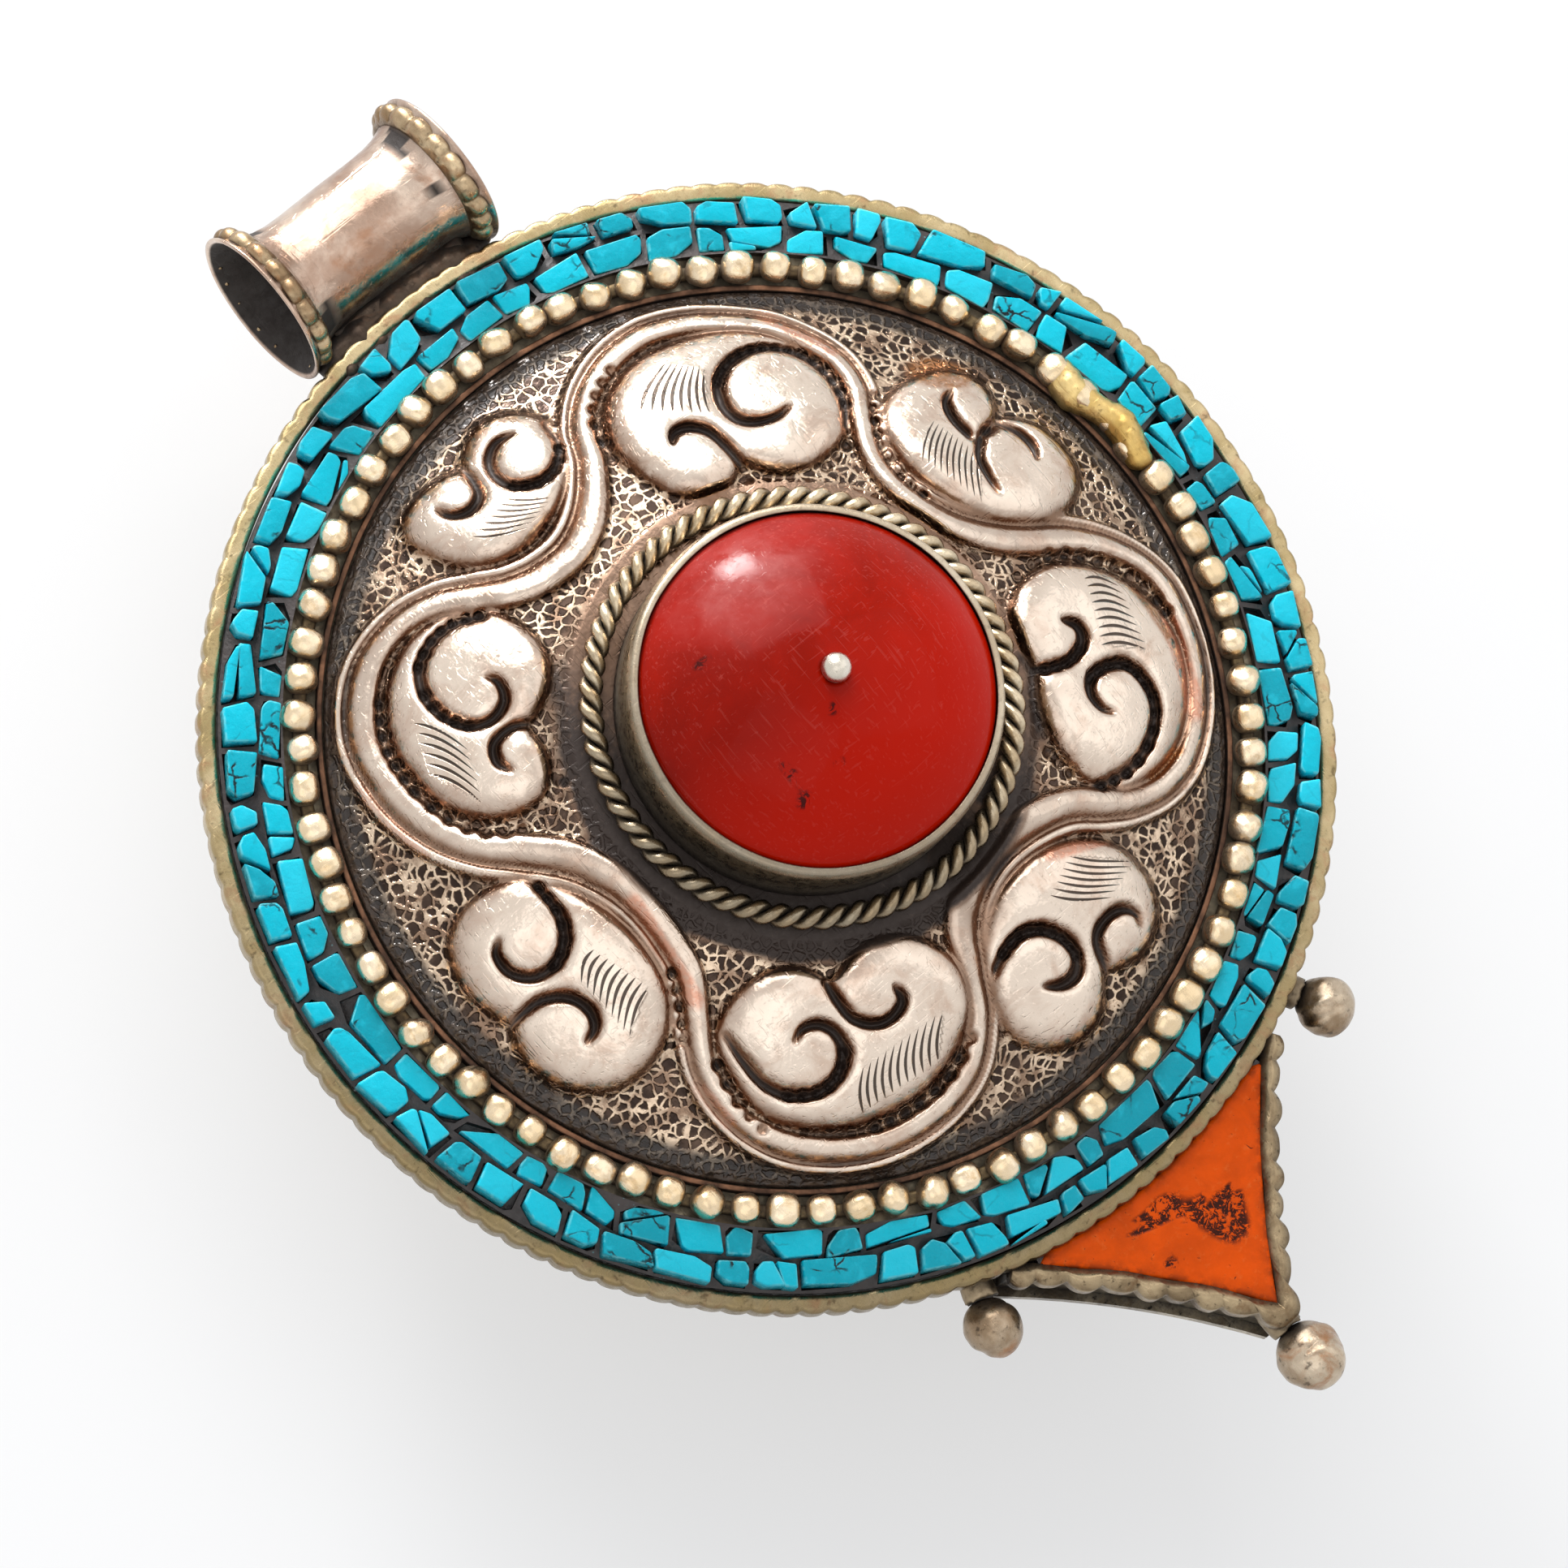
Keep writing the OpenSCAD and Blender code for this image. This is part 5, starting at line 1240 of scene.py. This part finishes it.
class GHAU_OT_mosaic(bpy.types.Operator):
    """Turquoise chips set in dark resin"""
    bl_idname = "ghau.mosaic"
    bl_label = "Turquoise Mosaic"

    def execute(self, context):
        props = context.scene.ghau_border
        paint("mosaic_bed", resin_finish(tuple(props.resin)))
        outlines, low, high = chip_outlines("turquoise_chips")
        draw = np.random.default_rng(7)
        points, faces, tones, edges = [], [], [], []
        for outline in outlines:
            for shard in shards(outline, draw):
                line = softened(shard, 0.1, 2)
                middle = line.mean(0)
                wide = np.linalg.norm(line - middle, axis=1).mean()
                lean, lift = draw.uniform(-0.035, 0.035, 2), draw.uniform(-0.04, 0.03)
                start, n = len(points), len(line)
                for inset, drop in CHIP_STEPS:
                    ring = middle + (line - middle) * (1 - inset / wide)
                    level = low if drop is None else high + lift - drop + (ring - middle) @ lean
                    points += np.column_stack([ring, np.broadcast_to(level, n)]).tolist()
                    edges += [0.0 if drop in (None, 0.0) else 1.0] * n
                points.append([*middle, high + lift + 0.02])
                edges.append(0.0)
                rows, top = len(CHIP_STEPS), start + (len(CHIP_STEPS) - 1) * n
                faces += bands(rows, n, start)
                faces += [(top + j, top + (j + 1) % n, start + rows * n) for j in range(n)]
                faces.append(tuple(start + j for j in range(n))[::-1])
                tones += [draw.uniform(0, 1)] * (rows * n + 1)
        chips = mesh_piece("turquoise_chips_ground", points, faces, values={"tone": tones, "edge": edges})
        dress(chips, turquoise_finish(tuple(props.turquoise)), "case", "turquoise", "turquoise_chips")
        return {"FINISHED"}


class GHAU_OT_bead_ring(bpy.types.Operator):
    """Ring of grain wire beads with the copper strip inside it"""
    bl_idname = "ghau.bead_ring"
    bl_label = "Bead Ring"

    def execute(self, context):
        props = context.scene.ghau_border
        metal = old_metal("grain_wire_metal", (222, 198, 160), (88, 66, 50), (240, 222, 194), 0.2, 0.6,
                          dirt_and_shade=1.0, reach=0.9, warm=(190, 156, 108), pits=0.2)
        beads = grown("grain_wire_beads", bead_ring_tree(), {
            "Count": props.bead_count, "Ring Radius": BEAD_RING_R * MM, "Bead Diameter": props.bead_diameter,
            "Height": BEAD_LEVEL * MM, "Flatness": 0.92, "Unevenness": props.unevenness, "Seed": 4,
            "Centre": (0, 0, 0), "Turn": (0, 0, 0), "Material": metal})
        dress(beads, metal, "case", "grain_wire", "bead_ring")
        # The core that fills between the beads is dark: oxide and painted shade between them.
        tarnish_and_shade = old_metal("grain_wire_tarnish", (104, 86, 62), (34, 25, 19), (150, 128, 92), 0.4, 0.5,
                            dirt_and_shade=1.0, reach=1.2)
        core = lathe("grain_wire_core", softened(section(*BEAD_CORE), 0.3), RING_TURNS)
        dress(core, tarnish_and_shade, "case", "grain_wire")
        gold = old_metal("bead_solder_gold", (198, 164, 96), (78, 54, 26), (226, 200, 140), 0.34, 0.8,
                         warm=(150, 108, 56), pits=0.8)
        arc = [(a, 24.0 + 0.2 * math.sin(29 * a)) for a in np.radians(np.linspace(-1.5, 12.5, 11))]
        drops = [(r * math.cos(a), r * math.sin(a), 6.95, 0.85 + 0.13 * math.sin(43 * a)) for a, r in arc]
        run = puddle("bead_solder_run", drops, 0.14, 2, 0.24, 17)
        dress(run, gold, "case", "grain_wire")
        copper = old_metal("copper_strip_metal", (84, 62, 50), (34, 24, 19), (150, 108, 82), 0.42, 0.5,
                           dirt_and_shade=1.0, reach=0.8)
        strip = lathe("copper_strip_ring", softened(section(*COPPER_STRIP), 0.08), RING_TURNS)
        dress(strip, copper, "case", "copper", "copper_strip")
        return {"FINISHED"}


class GHAU_OT_scroll_plate(bpy.types.Operator):
    """Domed silver plate with beaten scrolls, leaves and stippled ground"""
    bl_idname = "ghau.scroll_plate"
    bl_label = "Scroll Plate"

    def execute(self, context):
        props = context.scene.ghau_plate
        plate = scroll_plate_mesh(props)
        dress(plate, plate_finish(tuple(props.silver), tuple(props.shade)), "case", "silver", "scroll_plate")
        return {"FINISHED"}


class GHAU_OT_twisted_wire(bpy.types.Operator):
    """Rope of two strands round the bezel"""
    bl_idname = "ghau.twisted_wire"
    bl_label = "Twisted Wire"

    def execute(self, context):
        # The rope gets oxide and painted shade toward its -x, -y side.
        metal = old_metal("rope_metal", (184, 162, 130), (26, 18, 13), (220, 204, 176), 0.22, 0.4,
                          dirt_and_shade=1.0, reach=0.6, tarnish_and_shade=(-0.8, -0.6, -5, 9, 0.6))
        turns = context.scene.ghau_stone.rope_turns
        rope = grown("rope_ring", rope_tree(), {
            "Ring Radius": ROPE_R * MM, "Strand Diameter": STRAND_D * MM, "Twist Radius": TWIST_R * MM,
            "Turns": turns, "Height": ROPE_LEVEL * MM, "Steps": turns * ROPE_STEPS, "Sides": 10,
            "Material": metal})
        dress(rope, metal, "case", "twisted_silver", "twisted_wire")
        return {"FINISHED"}


# The round coral in millimetres: radius, curve of its dome, foot, top and drilled hole
CORAL_R, DOME_R, CORAL_FOOT, CORAL_TOP, DRILL_R = 8.93, 11.593, 14.5, 20.6, 0.46

# The painted milky reflection and the dark flecks of the round coral: (x, y, half width, half height)
CORAL_REFLECTION = [(0.2, 6.2, 3.4, 2.2)]
CORAL_FLECKS = [(-4.7, -2.4, 0.35, 0.9), (-4.9, -3.9, 0.5, 0.4), (-1.3, -1.4, 0.45, 0.35),
                (-2.6, -3.6, 0.4, 0.3), (-4.4, 4.4, 0.6, 0.3)]


class GHAU_OT_coral_setting(bpy.types.Operator):
    """Round coral in its bezel with the packing under it"""
    bl_idname = "ghau.coral_setting"
    bl_label = "Coral Setting"

    def execute(self, context):
        # The bezel gets oxide and painted shade toward its -x, -y side.
        metal = old_metal("bezel_silver", (182, 164, 140), (36, 27, 22), (212, 198, 176), 0.28, 0.7,
                          dirt_and_shade=1.0, reach=1.6, tarnish_and_shade=(-0.8, -0.6, -4, 8, 0.55))

        def wobble(a, r, z):
            lip = np.clip((z - 15.2) / 1.2, 0, 1)
            return 0.05 * (1 + waves(a, 3, 3, 14)) * lip, 0.07 * waves(a, 9, 4, 18) * (z > 16)
        wall = [(8.98, 12.1), (9.4, 12.1), (9.4, 16.1), (9.22, 16.62), (8.86, 16.66), (8.98, 16.3)]
        bezel = lathe("bezel_strip", softened(wall, 0.12), 288, wobble)
        dress(bezel, metal, "case", "silver", "bezel_wall")
        packing = Finish("packing_lac")
        grain = packing.noise(0.5, 5)
        tone = packing.blend(packing.span(grain, 0.35, 0.7), srgb(92, 58, 38), srgb(52, 32, 22))
        rough = packing.span(grain, 0.3, 0.7, 0.6, 0.85)
        paint("coral_packing", packing.give(tone, rough, 0.0, grain, 0.5, 0.2))
        turn = np.linspace(math.asin(0.66 / DOME_R), math.asin(CORAL_R / DOME_R) * 0.995, 40)
        arc = np.stack([DOME_R * np.sin(turn), CORAL_TOP - DOME_R + DOME_R * np.cos(turn)], -1)
        profile = np.vstack([[(DRILL_R, CORAL_FOOT), (DRILL_R, 20.2), (0.62, 20.25)], arc,
                             [(CORAL_R, 16.3), (CORAL_R, 14.6), (8.83, CORAL_FOOT)]])
        stone = lathe("coral_dome", profile, 192)
        at = np.array([v.co for v in stone.data.vertices]) / MM
        mark(stone.data, "reflection_patch", smudges(at, CORAL_REFLECTION))
        mark(stone.data, "fleck", smudges(at, CORAL_FLECKS))
        dress(stone, coral_finish(tuple(context.scene.ghau_stone.coral)), "case", "coral", "coral_cabochon")
        return {"FINISHED"}


class GHAU_OT_centre_pin(bpy.types.Operator):
    """Ball-headed pin through the coral, peened behind the plate"""
    bl_idname = "ghau.centre_pin"
    bl_label = "Centre Pin"

    def execute(self, context):
        metal = old_metal("pin_silver", (206, 198, 184), (60, 50, 44), (232, 226, 214), 0.25, 0.4)
        head = ball_profile(0.75, 20.995, 22)
        head = head[head[:, 1] > 20.4]
        stem = [(0, 11.1), (0.8, 11.1), (0.9, 11.25), (0.8, 11.5), (0.4, 11.5), (0.4, 20.36)]
        pin = lathe("pin_ball_head", np.vstack([stem, head]), 48)
        dress(pin, metal, "case", "silver", "centre_pin")
        return {"FINISHED"}


# Where the bail's lips begin, in millimetres from its middle
LIP_START = 5.4


class GHAU_OT_bail(bpy.types.Operator):
    """Flared bail tube with its beaded collars and solder saddle"""
    bl_idname = "ghau.bail"
    bl_label = "Bail"

    def execute(self, context):
        low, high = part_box("bail_tube")
        lying = Matrix.Translation((low + high) / 2) @ Matrix.Rotation(math.radians(90), 4, "Y")
        metal = old_metal("bail_metal", (166, 138, 120), (34, 23, 19), (224, 204, 186), 0.16, 1.3,
                          dirt_and_shade=1.0, reach=2.4, warm=(158, 112, 82), pits=0.25)
        outer = [(3.15, 0), (3.15, 2.4), (3.19, 3.3), (3.3, 4.0), (3.5, 4.6), (3.8, 5.1), (4.05, 5.5),
                 (4.24, 5.82)]
        lip = [(4.32, 5.94), (4.3, 6.02), (4.2, 6.05), (4.08, 6.02), (3.98, 5.93)]
        inner = [(3.75, 5.55), (3.4, 5.0), (3.05, 4.4), (2.82, 3.9), (2.72, 3.3), (2.7, 0)]
        half = outer + lip + inner
        full = half + [(r, -z) for r, z in half[::-1]][1:-1]

        def uneven(a, r, z):
            body, lips = 0.04 * waves(a + 0.2 * z, 21, 2, 7), 0.05 * waves(a, 23, 2, 9)
            return body * (np.abs(z) < LIP_START) + lips * (np.abs(z) > LIP_START), 0 * z
        tube = lathe("bail_flared_tube", full, 160, uneven)
        at = np.array([v.co for v in tube.data.vertices]) / MM
        radius, along = np.hypot(at[:, 0], at[:, 1]), np.abs(at[:, 2])
        # The bore is painted near black: shade inside the tube.
        bore = radius < np.interp(along, [0, 3.3, 4.4, 5.9, 6.1], [3.0, 3.1, 3.4, 4.06, 3.9])
        mark(tube.data, "bore", bore)
        tube.data.transform(lying)
        dress(tube, bored(metal), "case", "bail_silver", "bail_tube")
        brass = old_metal("collar_metal", (142, 118, 90), (30, 22, 17), (200, 178, 144), 0.28, 0.6,
                          dirt_and_shade=1.0, reach=1.0, warm=(150, 108, 74), pits=0.5)

        def lumps(a, r, z):
            crest = np.abs(np.sin(10 * a + 1.5 * waves(a, 33, 2, 6))) ** 0.7
            out = -0.3 * (1 - crest) * (r > 4.0) + 0.08 * waves(a, 35, 3, 12)
            return out, 0.12 * waves(a, 37, 2, 9) * (r > 4.0)
        section = [(3.48, 4.75), (3.75, 4.72), (4.2, 4.86), (4.42, 5.12), (4.44, 5.45), (4.28, 5.72),
                   (4.12, 5.74), (3.92, 5.5)]
        for side, way in (("left", -1), ("right", 1)):
            collar = lathe("bail_collar_lumps_" + side, softened(section, 0.2, 2)[::way] * [1, way], 320,
                           lumps)
            collar.data.transform(lying)
            dress(collar, brass, "case", "bail_silver", "bail_collar_" + side)
        flux = old_metal("solder_flux", (50, 42, 38), (18, 14, 13), (92, 78, 66), 0.34, 0.7,
                         dirt_and_shade=1.0, reach=1.5, warm=(92, 66, 50), pits=0.8)
        saddle = melted(cad_copy("bail_saddle", "saddle_solder"), 0.2, 4, 0.16, 41)
        dress(saddle, flux, "case", "solder", "bail_saddle")
        arc = [(turn, math.radians(90 + turn)) for turn in np.linspace(-9, 9, 13)]
        drops = [(29.1 * math.cos(a), 29.1 * math.sin(a), 4.6 + 0.15 * math.cos(turn), 1.0)
                 for turn, a in arc]
        drops += [(30.2 * math.cos(a), 30.2 * math.sin(a), 4.3, 0.95) for turn, a in arc if abs(turn) < 7.5]
        drops += [(28.0 * math.cos(a), 28.0 * math.sin(a), 5.15, 0.45 + 0.12 * math.sin(3 * turn))
                  for turn, a in arc]
        run = puddle("saddle_flux_run", drops, 0.18, 6, 0.2, 43)
        dress(run, flux, "case", "solder")
        return {"FINISHED"}


# The drop's outline, in degrees and millimetres: its sides hollow in from two corners to the tip
DROP_TURN, DROP_HALF, DROP_FOOT_R, DROP_TIP_R, DROP_HOLLOW = 2.1, 15.5, 29.28, 37.6, 0.35

# How far the drop's strip and wire reach past its foot, as a share of its side
DROP_START = -0.12

# The drop's coral from its foot to its middle: share of its outline, height, and how much it is an edge
SLAB_ROWS = [(1.0, 3.2, 1), (1.0, 4.78, 1), (0.985, 4.9, 1), (0.96, 4.96, 0.8), (0.9, 5.0, 0.3),
             (0.78, 5.02, 0), (0.6, 5.04, 0), (0.4, 5.05, 0), (0.2, 5.05, 0)]

# Where the drop's coral is pitted black: (x, y, half width, half height)
DROP_SPECKS = [(2.1, -33.0, 1.2, 1.2), (1.3, -31.6, 0.8, 0.8), (3.0, -32.0, 0.6, 0.6), (0.0, -30.3, 1.0, 0.7),
               (-1.2, -30.4, 0.9, 0.5), (-1.5, -32.6, 0.45, 0.45)]


def drop_side(grow, stations):
    """One side of the drop from the foot to the tip, grown outwards, before the drop's turn."""
    corner = DROP_FOOT_R * np.array([math.sin(math.radians(DROP_HALF)), -math.cos(math.radians(DROP_HALF))])
    tip = np.array([0, -DROP_TIP_R])
    side = tip - corner
    length = np.linalg.norm(side)
    radius = (length ** 2 / 4 + DROP_HOLLOW ** 2) / (2 * DROP_HOLLOW)
    out = np.array([-side[1], side[0]]) / length
    centre = (corner + tip) / 2 + out * (radius - DROP_HOLLOW)
    start, end = (math.atan2(*(p - centre)[::-1]) for p in (corner, tip))
    if end - start > math.pi:
        end -= math.tau
    if start - end > math.pi:
        end += math.tau
    turn = start + (end - start) * np.asarray(stations)
    return np.stack([centre[0] + (radius - grow) * np.cos(turn), centre[1] + (radius - grow) * np.sin(turn)],
                    -1)


def drop_path(grow, count, bites=None, start=0.0):
    """Both sides in one line, from the right foot round the tip to the left foot."""
    stations = np.linspace(start, 1.25, count)
    grow = np.full(count, grow) if bites is None else grow - bites(stations)
    right = np.array([drop_side(g, [s])[0] for g, s in zip(grow, stations)])
    keep = right[:, 0] > 0.02
    last = np.argmin(keep) if not keep.all() else count
    a, b = right[last - 1], right[min(last, count - 1)]
    tip = a + (b - a) * (a[0] / max(a[0] - b[0], 1e-9))
    right = np.vstack([right[:last], [tip]])
    reach = DROP_TIP_R + float(np.max(grow))
    long = np.linalg.norm(right, axis=1)
    right = right * np.minimum(1, reach / long)[:, None]
    where = np.linspace(0, 1, count)
    steps = np.concatenate([[0], np.cumsum(np.linalg.norm(np.diff(right, axis=0), axis=1))])
    right = np.stack([np.interp(where * steps[-1], steps, right[:, k]) for k in (0, 1)], -1)
    return np.vstack([right, right[-2::-1] * [-1, 1]])


def turned(points):
    """The drop's points with its slight turn."""
    c, s = math.cos(math.radians(DROP_TURN)), math.sin(math.radians(DROP_TURN))
    return points @ np.array([[c, s], [-s, c]])


def fence(name, inner, outer, low, high, soft):
    """A strip between two lines of points, from low to high, with soft top edges and capped ends."""
    section = [(0, low), (1, low), (1, high - soft), (1 - 0.35 * soft / 0.3, high - 0.3 * soft), (0.5, high),
               (0.35 * soft / 0.3, high - 0.3 * soft), (0, high - soft)]
    points = [(*(a + (b - a) * t), z) for a, b in zip(inner, outer) for t, z in section]
    n, count = len(section), len(inner)
    caps = [tuple(range(n)), tuple((count - 1) * n + j for j in range(n))[::-1]]
    return mesh_piece(name, points, bands(count, n) + caps)


class GHAU_OT_drop(bpy.types.Operator):
    """Coral drop below the case, with its strip and notched edge wire"""
    bl_idname = "ghau.drop"
    bl_label = "Drop"

    def execute(self, context):
        metal = old_metal("drop_brass", (122, 104, 80), (28, 21, 17), (178, 158, 126), 0.32, 0.6,
                          dirt_and_shade=1.0, reach=1.4, warm=(112, 84, 58), pits=0.75)
        side = old_metal("drop_side_metal", (84, 72, 58), (18, 14, 12), (182, 170, 148), 0.26, 0.55,
                         dirt_and_shade=1.0, reach=1.6, warm=(96, 72, 50), pits=1.0)
        paint("drop_plate", side)
        paint("drop_cement", bpy.data.materials["mosaic_resin"])
        count = 90
        strip = fence("drop_strip_bent", turned(drop_path(0, count, start=DROP_START)),
                      turned(drop_path(0.6, count, start=DROP_START)), 1.6, 4.6, 0.12)
        dress(strip, side, "case", "case_metal", "drop_strip")

        def bites(s):
            crest = np.abs(np.sin(math.pi * (7.5 * s + 0.12 * np.sin(9 * s + 1))))
            return 0.32 * (1 - crest) ** 1.3 + 0.08 * np.sin(23 * s)
        inner = drop_path(0.02, 3 * count, lambda s: 0.07 * np.sin(17 * s + 2), DROP_START)
        outer = drop_path(1.08, 3 * count, bites, DROP_START)
        wire = fence("drop_wire_notched", turned(inner), turned(outer), 3.9, 5.2, 0.3)
        dress(wire, metal, "case", "old_brass", "drop_edge_wire")

        inside = drop_path(0.06, 60)
        foot_turn = np.linspace(-DROP_HALF, DROP_HALF, 30)[1:-1]
        foot_r = DROP_FOOT_R - 0.4
        foot = np.stack([foot_r * np.sin(np.radians(foot_turn)), -foot_r * np.cos(np.radians(foot_turn))], -1)
        outline = turned(np.vstack([inside, foot]))
        middle = outline.mean(0)
        rows = [np.column_stack([middle + (outline - middle) * share, np.full(len(outline), level)])
                for share, level, _ in SLAB_ROWS]
        points = np.vstack([*rows, [(*middle, SLAB_ROWS[-1][1])]])
        n = len(outline)
        top = (len(rows) - 1) * n
        faces = bands(len(rows), n) + [(top + j, top + (j + 1) % n, len(points) - 1) for j in range(n)]
        faces.append(tuple(range(n))[::-1])
        speck = smudges(points, DROP_SPECKS)
        rim = np.repeat([edge for _, _, edge in SLAB_ROWS], n)
        coral = mesh_piece("drop_coral_slab", points, faces,
                           values={"speck": np.clip(speck * 1.3, 0, 1), "edge": np.append(rim, 0)})
        dress(coral, orange_coral_finish(tuple(context.scene.ghau_stone.orange_coral)), "case",
              "orange_coral", "drop_coral")
        return {"FINISHED"}


class GHAU_OT_finials(bpy.types.Operator):
    """Three ball finials and the solder that holds them"""
    bl_idname = "ghau.finials"
    bl_label = "Finials"

    def execute(self, context):
        metal = old_metal("finial_metal", (140, 118, 94), (30, 22, 18), (206, 190, 168), 0.24, 0.8,
                          dirt_and_shade=1.0, reach=2.2, warm=(158, 106, 66), pits=0.7)
        for index, node in enumerate(("shoulder_finial_left", "shoulder_finial_right", "tip_finial")):
            low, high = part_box(node)
            centre, radius = (low + high) / 2 / MM, (high.x - low.x) / 2 / MM

            def dents(a, r, z, seed=50 + index, size=radius):
                share = r / size
                out = -0.1 * (1 + 1.5 * waves(a + z, seed, 2, 8)) * share
                return out, 0.09 * waves(a - 2 * z, seed + 9, 1, 6) * share
            ball = lathe(node + "_ball", ball_profile(radius - 0.06, 0, 28), 56, dents)
            ball.data.transform(Matrix.Translation(centre * MM) @ Matrix.Rotation(0.7, 4, "Y")
                                @ Matrix.Rotation(1.2, 4, "X"))
            melted(ball, 0.1, 1, 0.16, 71 + index)
            dress(ball, metal, "case", "finial_brass", node)
        flux = old_metal("peg_solder", (120, 106, 88), (34, 27, 22), (170, 152, 124), 0.42, 0.6, pits=0.5)
        pegs = melted(cad_copy("finial_pegs", "finial_solder"), 0.16, 4, 0.1, 61)
        dress(pegs, flux, "case", "solder", "finial_pegs")
        return {"FINISHED"}


# The camera's place in millimetres, and which ways are right, up and back for it
CAMERA_AT = (-130.43, -22.93, 430.28)
CAMERA_AXES = ((0.741, -0.642, 0.194), (0.605, 0.765, 0.222), (-0.291, -0.047, 0.956))

# Soft square lamps that face the origin: place and width in metres, and share of the daylight's power
LAMPS = (("daylight", (0.12, 0.33, 0.26), 0.36, 0.8), ("window", (0.165, 0.46, 0.1), 0.1, 1.7),
         ("bounce", (0.3, -0.1, 0.4), 0.5, 0.2), ("overhead", (-0.25, -0.1, 0.5), 0.45, 0.2))

# The side of the surround that gives the most light
BRIGHT_SIDE = (0.4, 0.82, 0.41)

# Half the floor's width, and its height, which leaves room for the back cover when it is pulled off
FLOOR_REACH, FLOOR_LEVEL = 900, -10.5

# How much of the floor is plain white to the rays that show it, so that its shadow stays pale
FLOOR_GLOW = 0.5


class GHAU_OT_stage(bpy.types.Operator):
    """Camera, pale floor, soft daylight and a white surround"""
    bl_idname = "ghau.stage"
    bl_label = "Stage"

    def execute(self, context):
        props, scene = context.scene.ghau_stage, context.scene
        axes = [Vector(way).normalized() for way in CAMERA_AXES]
        camera = link(bpy.data.objects.new("photo_camera", bpy.data.cameras.new("photo_camera")))
        camera.matrix_world = Matrix.Translation(Vector(CAMERA_AT) * MM) @ Matrix(
            [[*(way[i] for way in axes), 0] for i in range(3)] + [[0, 0, 0, 1]])
        camera.data.lens, camera.data.sensor_width = props.lens, 36.0
        camera.data.clip_start, camera.data.clip_end = 0.01, 10.0
        camera.data.dof.use_dof = False
        scene.camera = camera

        for name, at, size, share in LAMPS:
            lamp = link(bpy.data.objects.new(name, bpy.data.lights.new(name, "AREA")))
            lamp.data.energy, lamp.data.size = share * props.daylight, size
            lamp.location = at
            lamp.rotation_euler = (-Vector(at)).to_track_quat("-Z", "Y").to_euler()

        world = bpy.data.worlds.new("studio")
        scene.world = world
        world.use_nodes = True
        w = Wires(world.node_tree)
        w.tree.nodes.clear()
        seen = w.seen_rays()
        toward = w.along(w.add("ShaderNodeTexCoord").outputs["Object"],
                         tuple(Vector(BRIGHT_SIDE).normalized()))
        white = w.got("ShaderNodeBackground", {"Color": (1, 1, 1), "Strength": 1.0})
        soft = w.got("ShaderNodeBackground",
                     {"Color": (0.95, 0.97, 1.0), "Strength": w.span(toward, -0.7, 0.7, 0.3, 0.66)})
        mix = w.got("ShaderNodeMixShader", {0: seen, 1: soft, 2: white})
        w.add("ShaderNodeOutputWorld", {0: mix})

        corners = [(x * FLOOR_REACH, y * FLOOR_REACH, FLOOR_LEVEL)
                   for x, y in ((-1, -1), (1, -1), (1, 1), (-1, 1))]
        floor = mesh_piece("floor", corners, [(0, 1, 2, 3)], smooth=False)
        f = Finish("pale_floor")
        tone = tuple(props.floor)
        floor.data.materials.append(f.give(f.blend(f.span(f.noise(60, 3), 0.3, 0.7), tone,
                                                   shaded(tone, 0.985)), 0.9, 0.0))
        out = next(n for n in f.tree.nodes if n.type == "OUTPUT_MATERIAL")
        glow = f.got("ShaderNodeEmission", {"Color": (1, 1, 1), "Strength": 1.0})
        lit = f.got("ShaderNodeMixShader", {0: f.times(f.seen_rays(), FLOOR_GLOW), 1: f.shader.outputs[0],
                                            2: glow})
        f.tree.links.new(lit, out.inputs[0])

        scene.view_settings.view_transform = "Standard"
        return {"FINISHED"}


class GHAU_PT_panel(bpy.types.Panel):
    """Buttons and sizes of the pendant"""
    bl_label = "Ghau Pendant"
    bl_idname = "GHAU_PT_panel"
    bl_space_type = "VIEW_3D"
    bl_region_type = "UI"
    bl_category = "Ghau"

    def draw(self, context):
        for label, key in (("Scroll Plate", "ghau_plate"), ("Border", "ghau_border"),
                           ("Stones", "ghau_stone"),
                           ("Stage", "ghau_stage")):
            box = self.layout.box()
            box.label(text=label)
            group = getattr(context.scene, key)
            for name in group.__annotations__:
                box.prop(group, name)
        for operator in OPERATORS:
            self.layout.operator(operator.bl_idname)


GROUPS = {"ghau_plate": GhauPlate, "ghau_border": GhauBorder, "ghau_stone": GhauStone,
          "ghau_stage": GhauStage}
OPERATORS = (GHAU_OT_back_cover, GHAU_OT_case, GHAU_OT_rim_wire, GHAU_OT_mosaic, GHAU_OT_bead_ring,
             GHAU_OT_scroll_plate, GHAU_OT_twisted_wire, GHAU_OT_coral_setting, GHAU_OT_centre_pin,
             GHAU_OT_bail, GHAU_OT_drop, GHAU_OT_finials, GHAU_OT_stage)


def register():
    for cls in (*GROUPS.values(), *OPERATORS, GHAU_PT_panel):
        bpy.utils.register_class(cls)
    for key, cls in GROUPS.items():
        setattr(bpy.types.Scene, key, PointerProperty(type=cls))


def unregister():
    for key in GROUPS:
        delattr(bpy.types.Scene, key)
    for cls in reversed((*GROUPS.values(), *OPERATORS, GHAU_PT_panel)):
        bpy.utils.unregister_class(cls)


def main():
    register()
    for operator in OPERATORS:
        group, name = operator.bl_idname.split(".")
        if getattr(getattr(bpy.ops, group), name)() != {"FINISHED"}:
            raise RuntimeError(operator.bl_label + " didn't finish")
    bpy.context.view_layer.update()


if __name__ == "__main__":
    main()
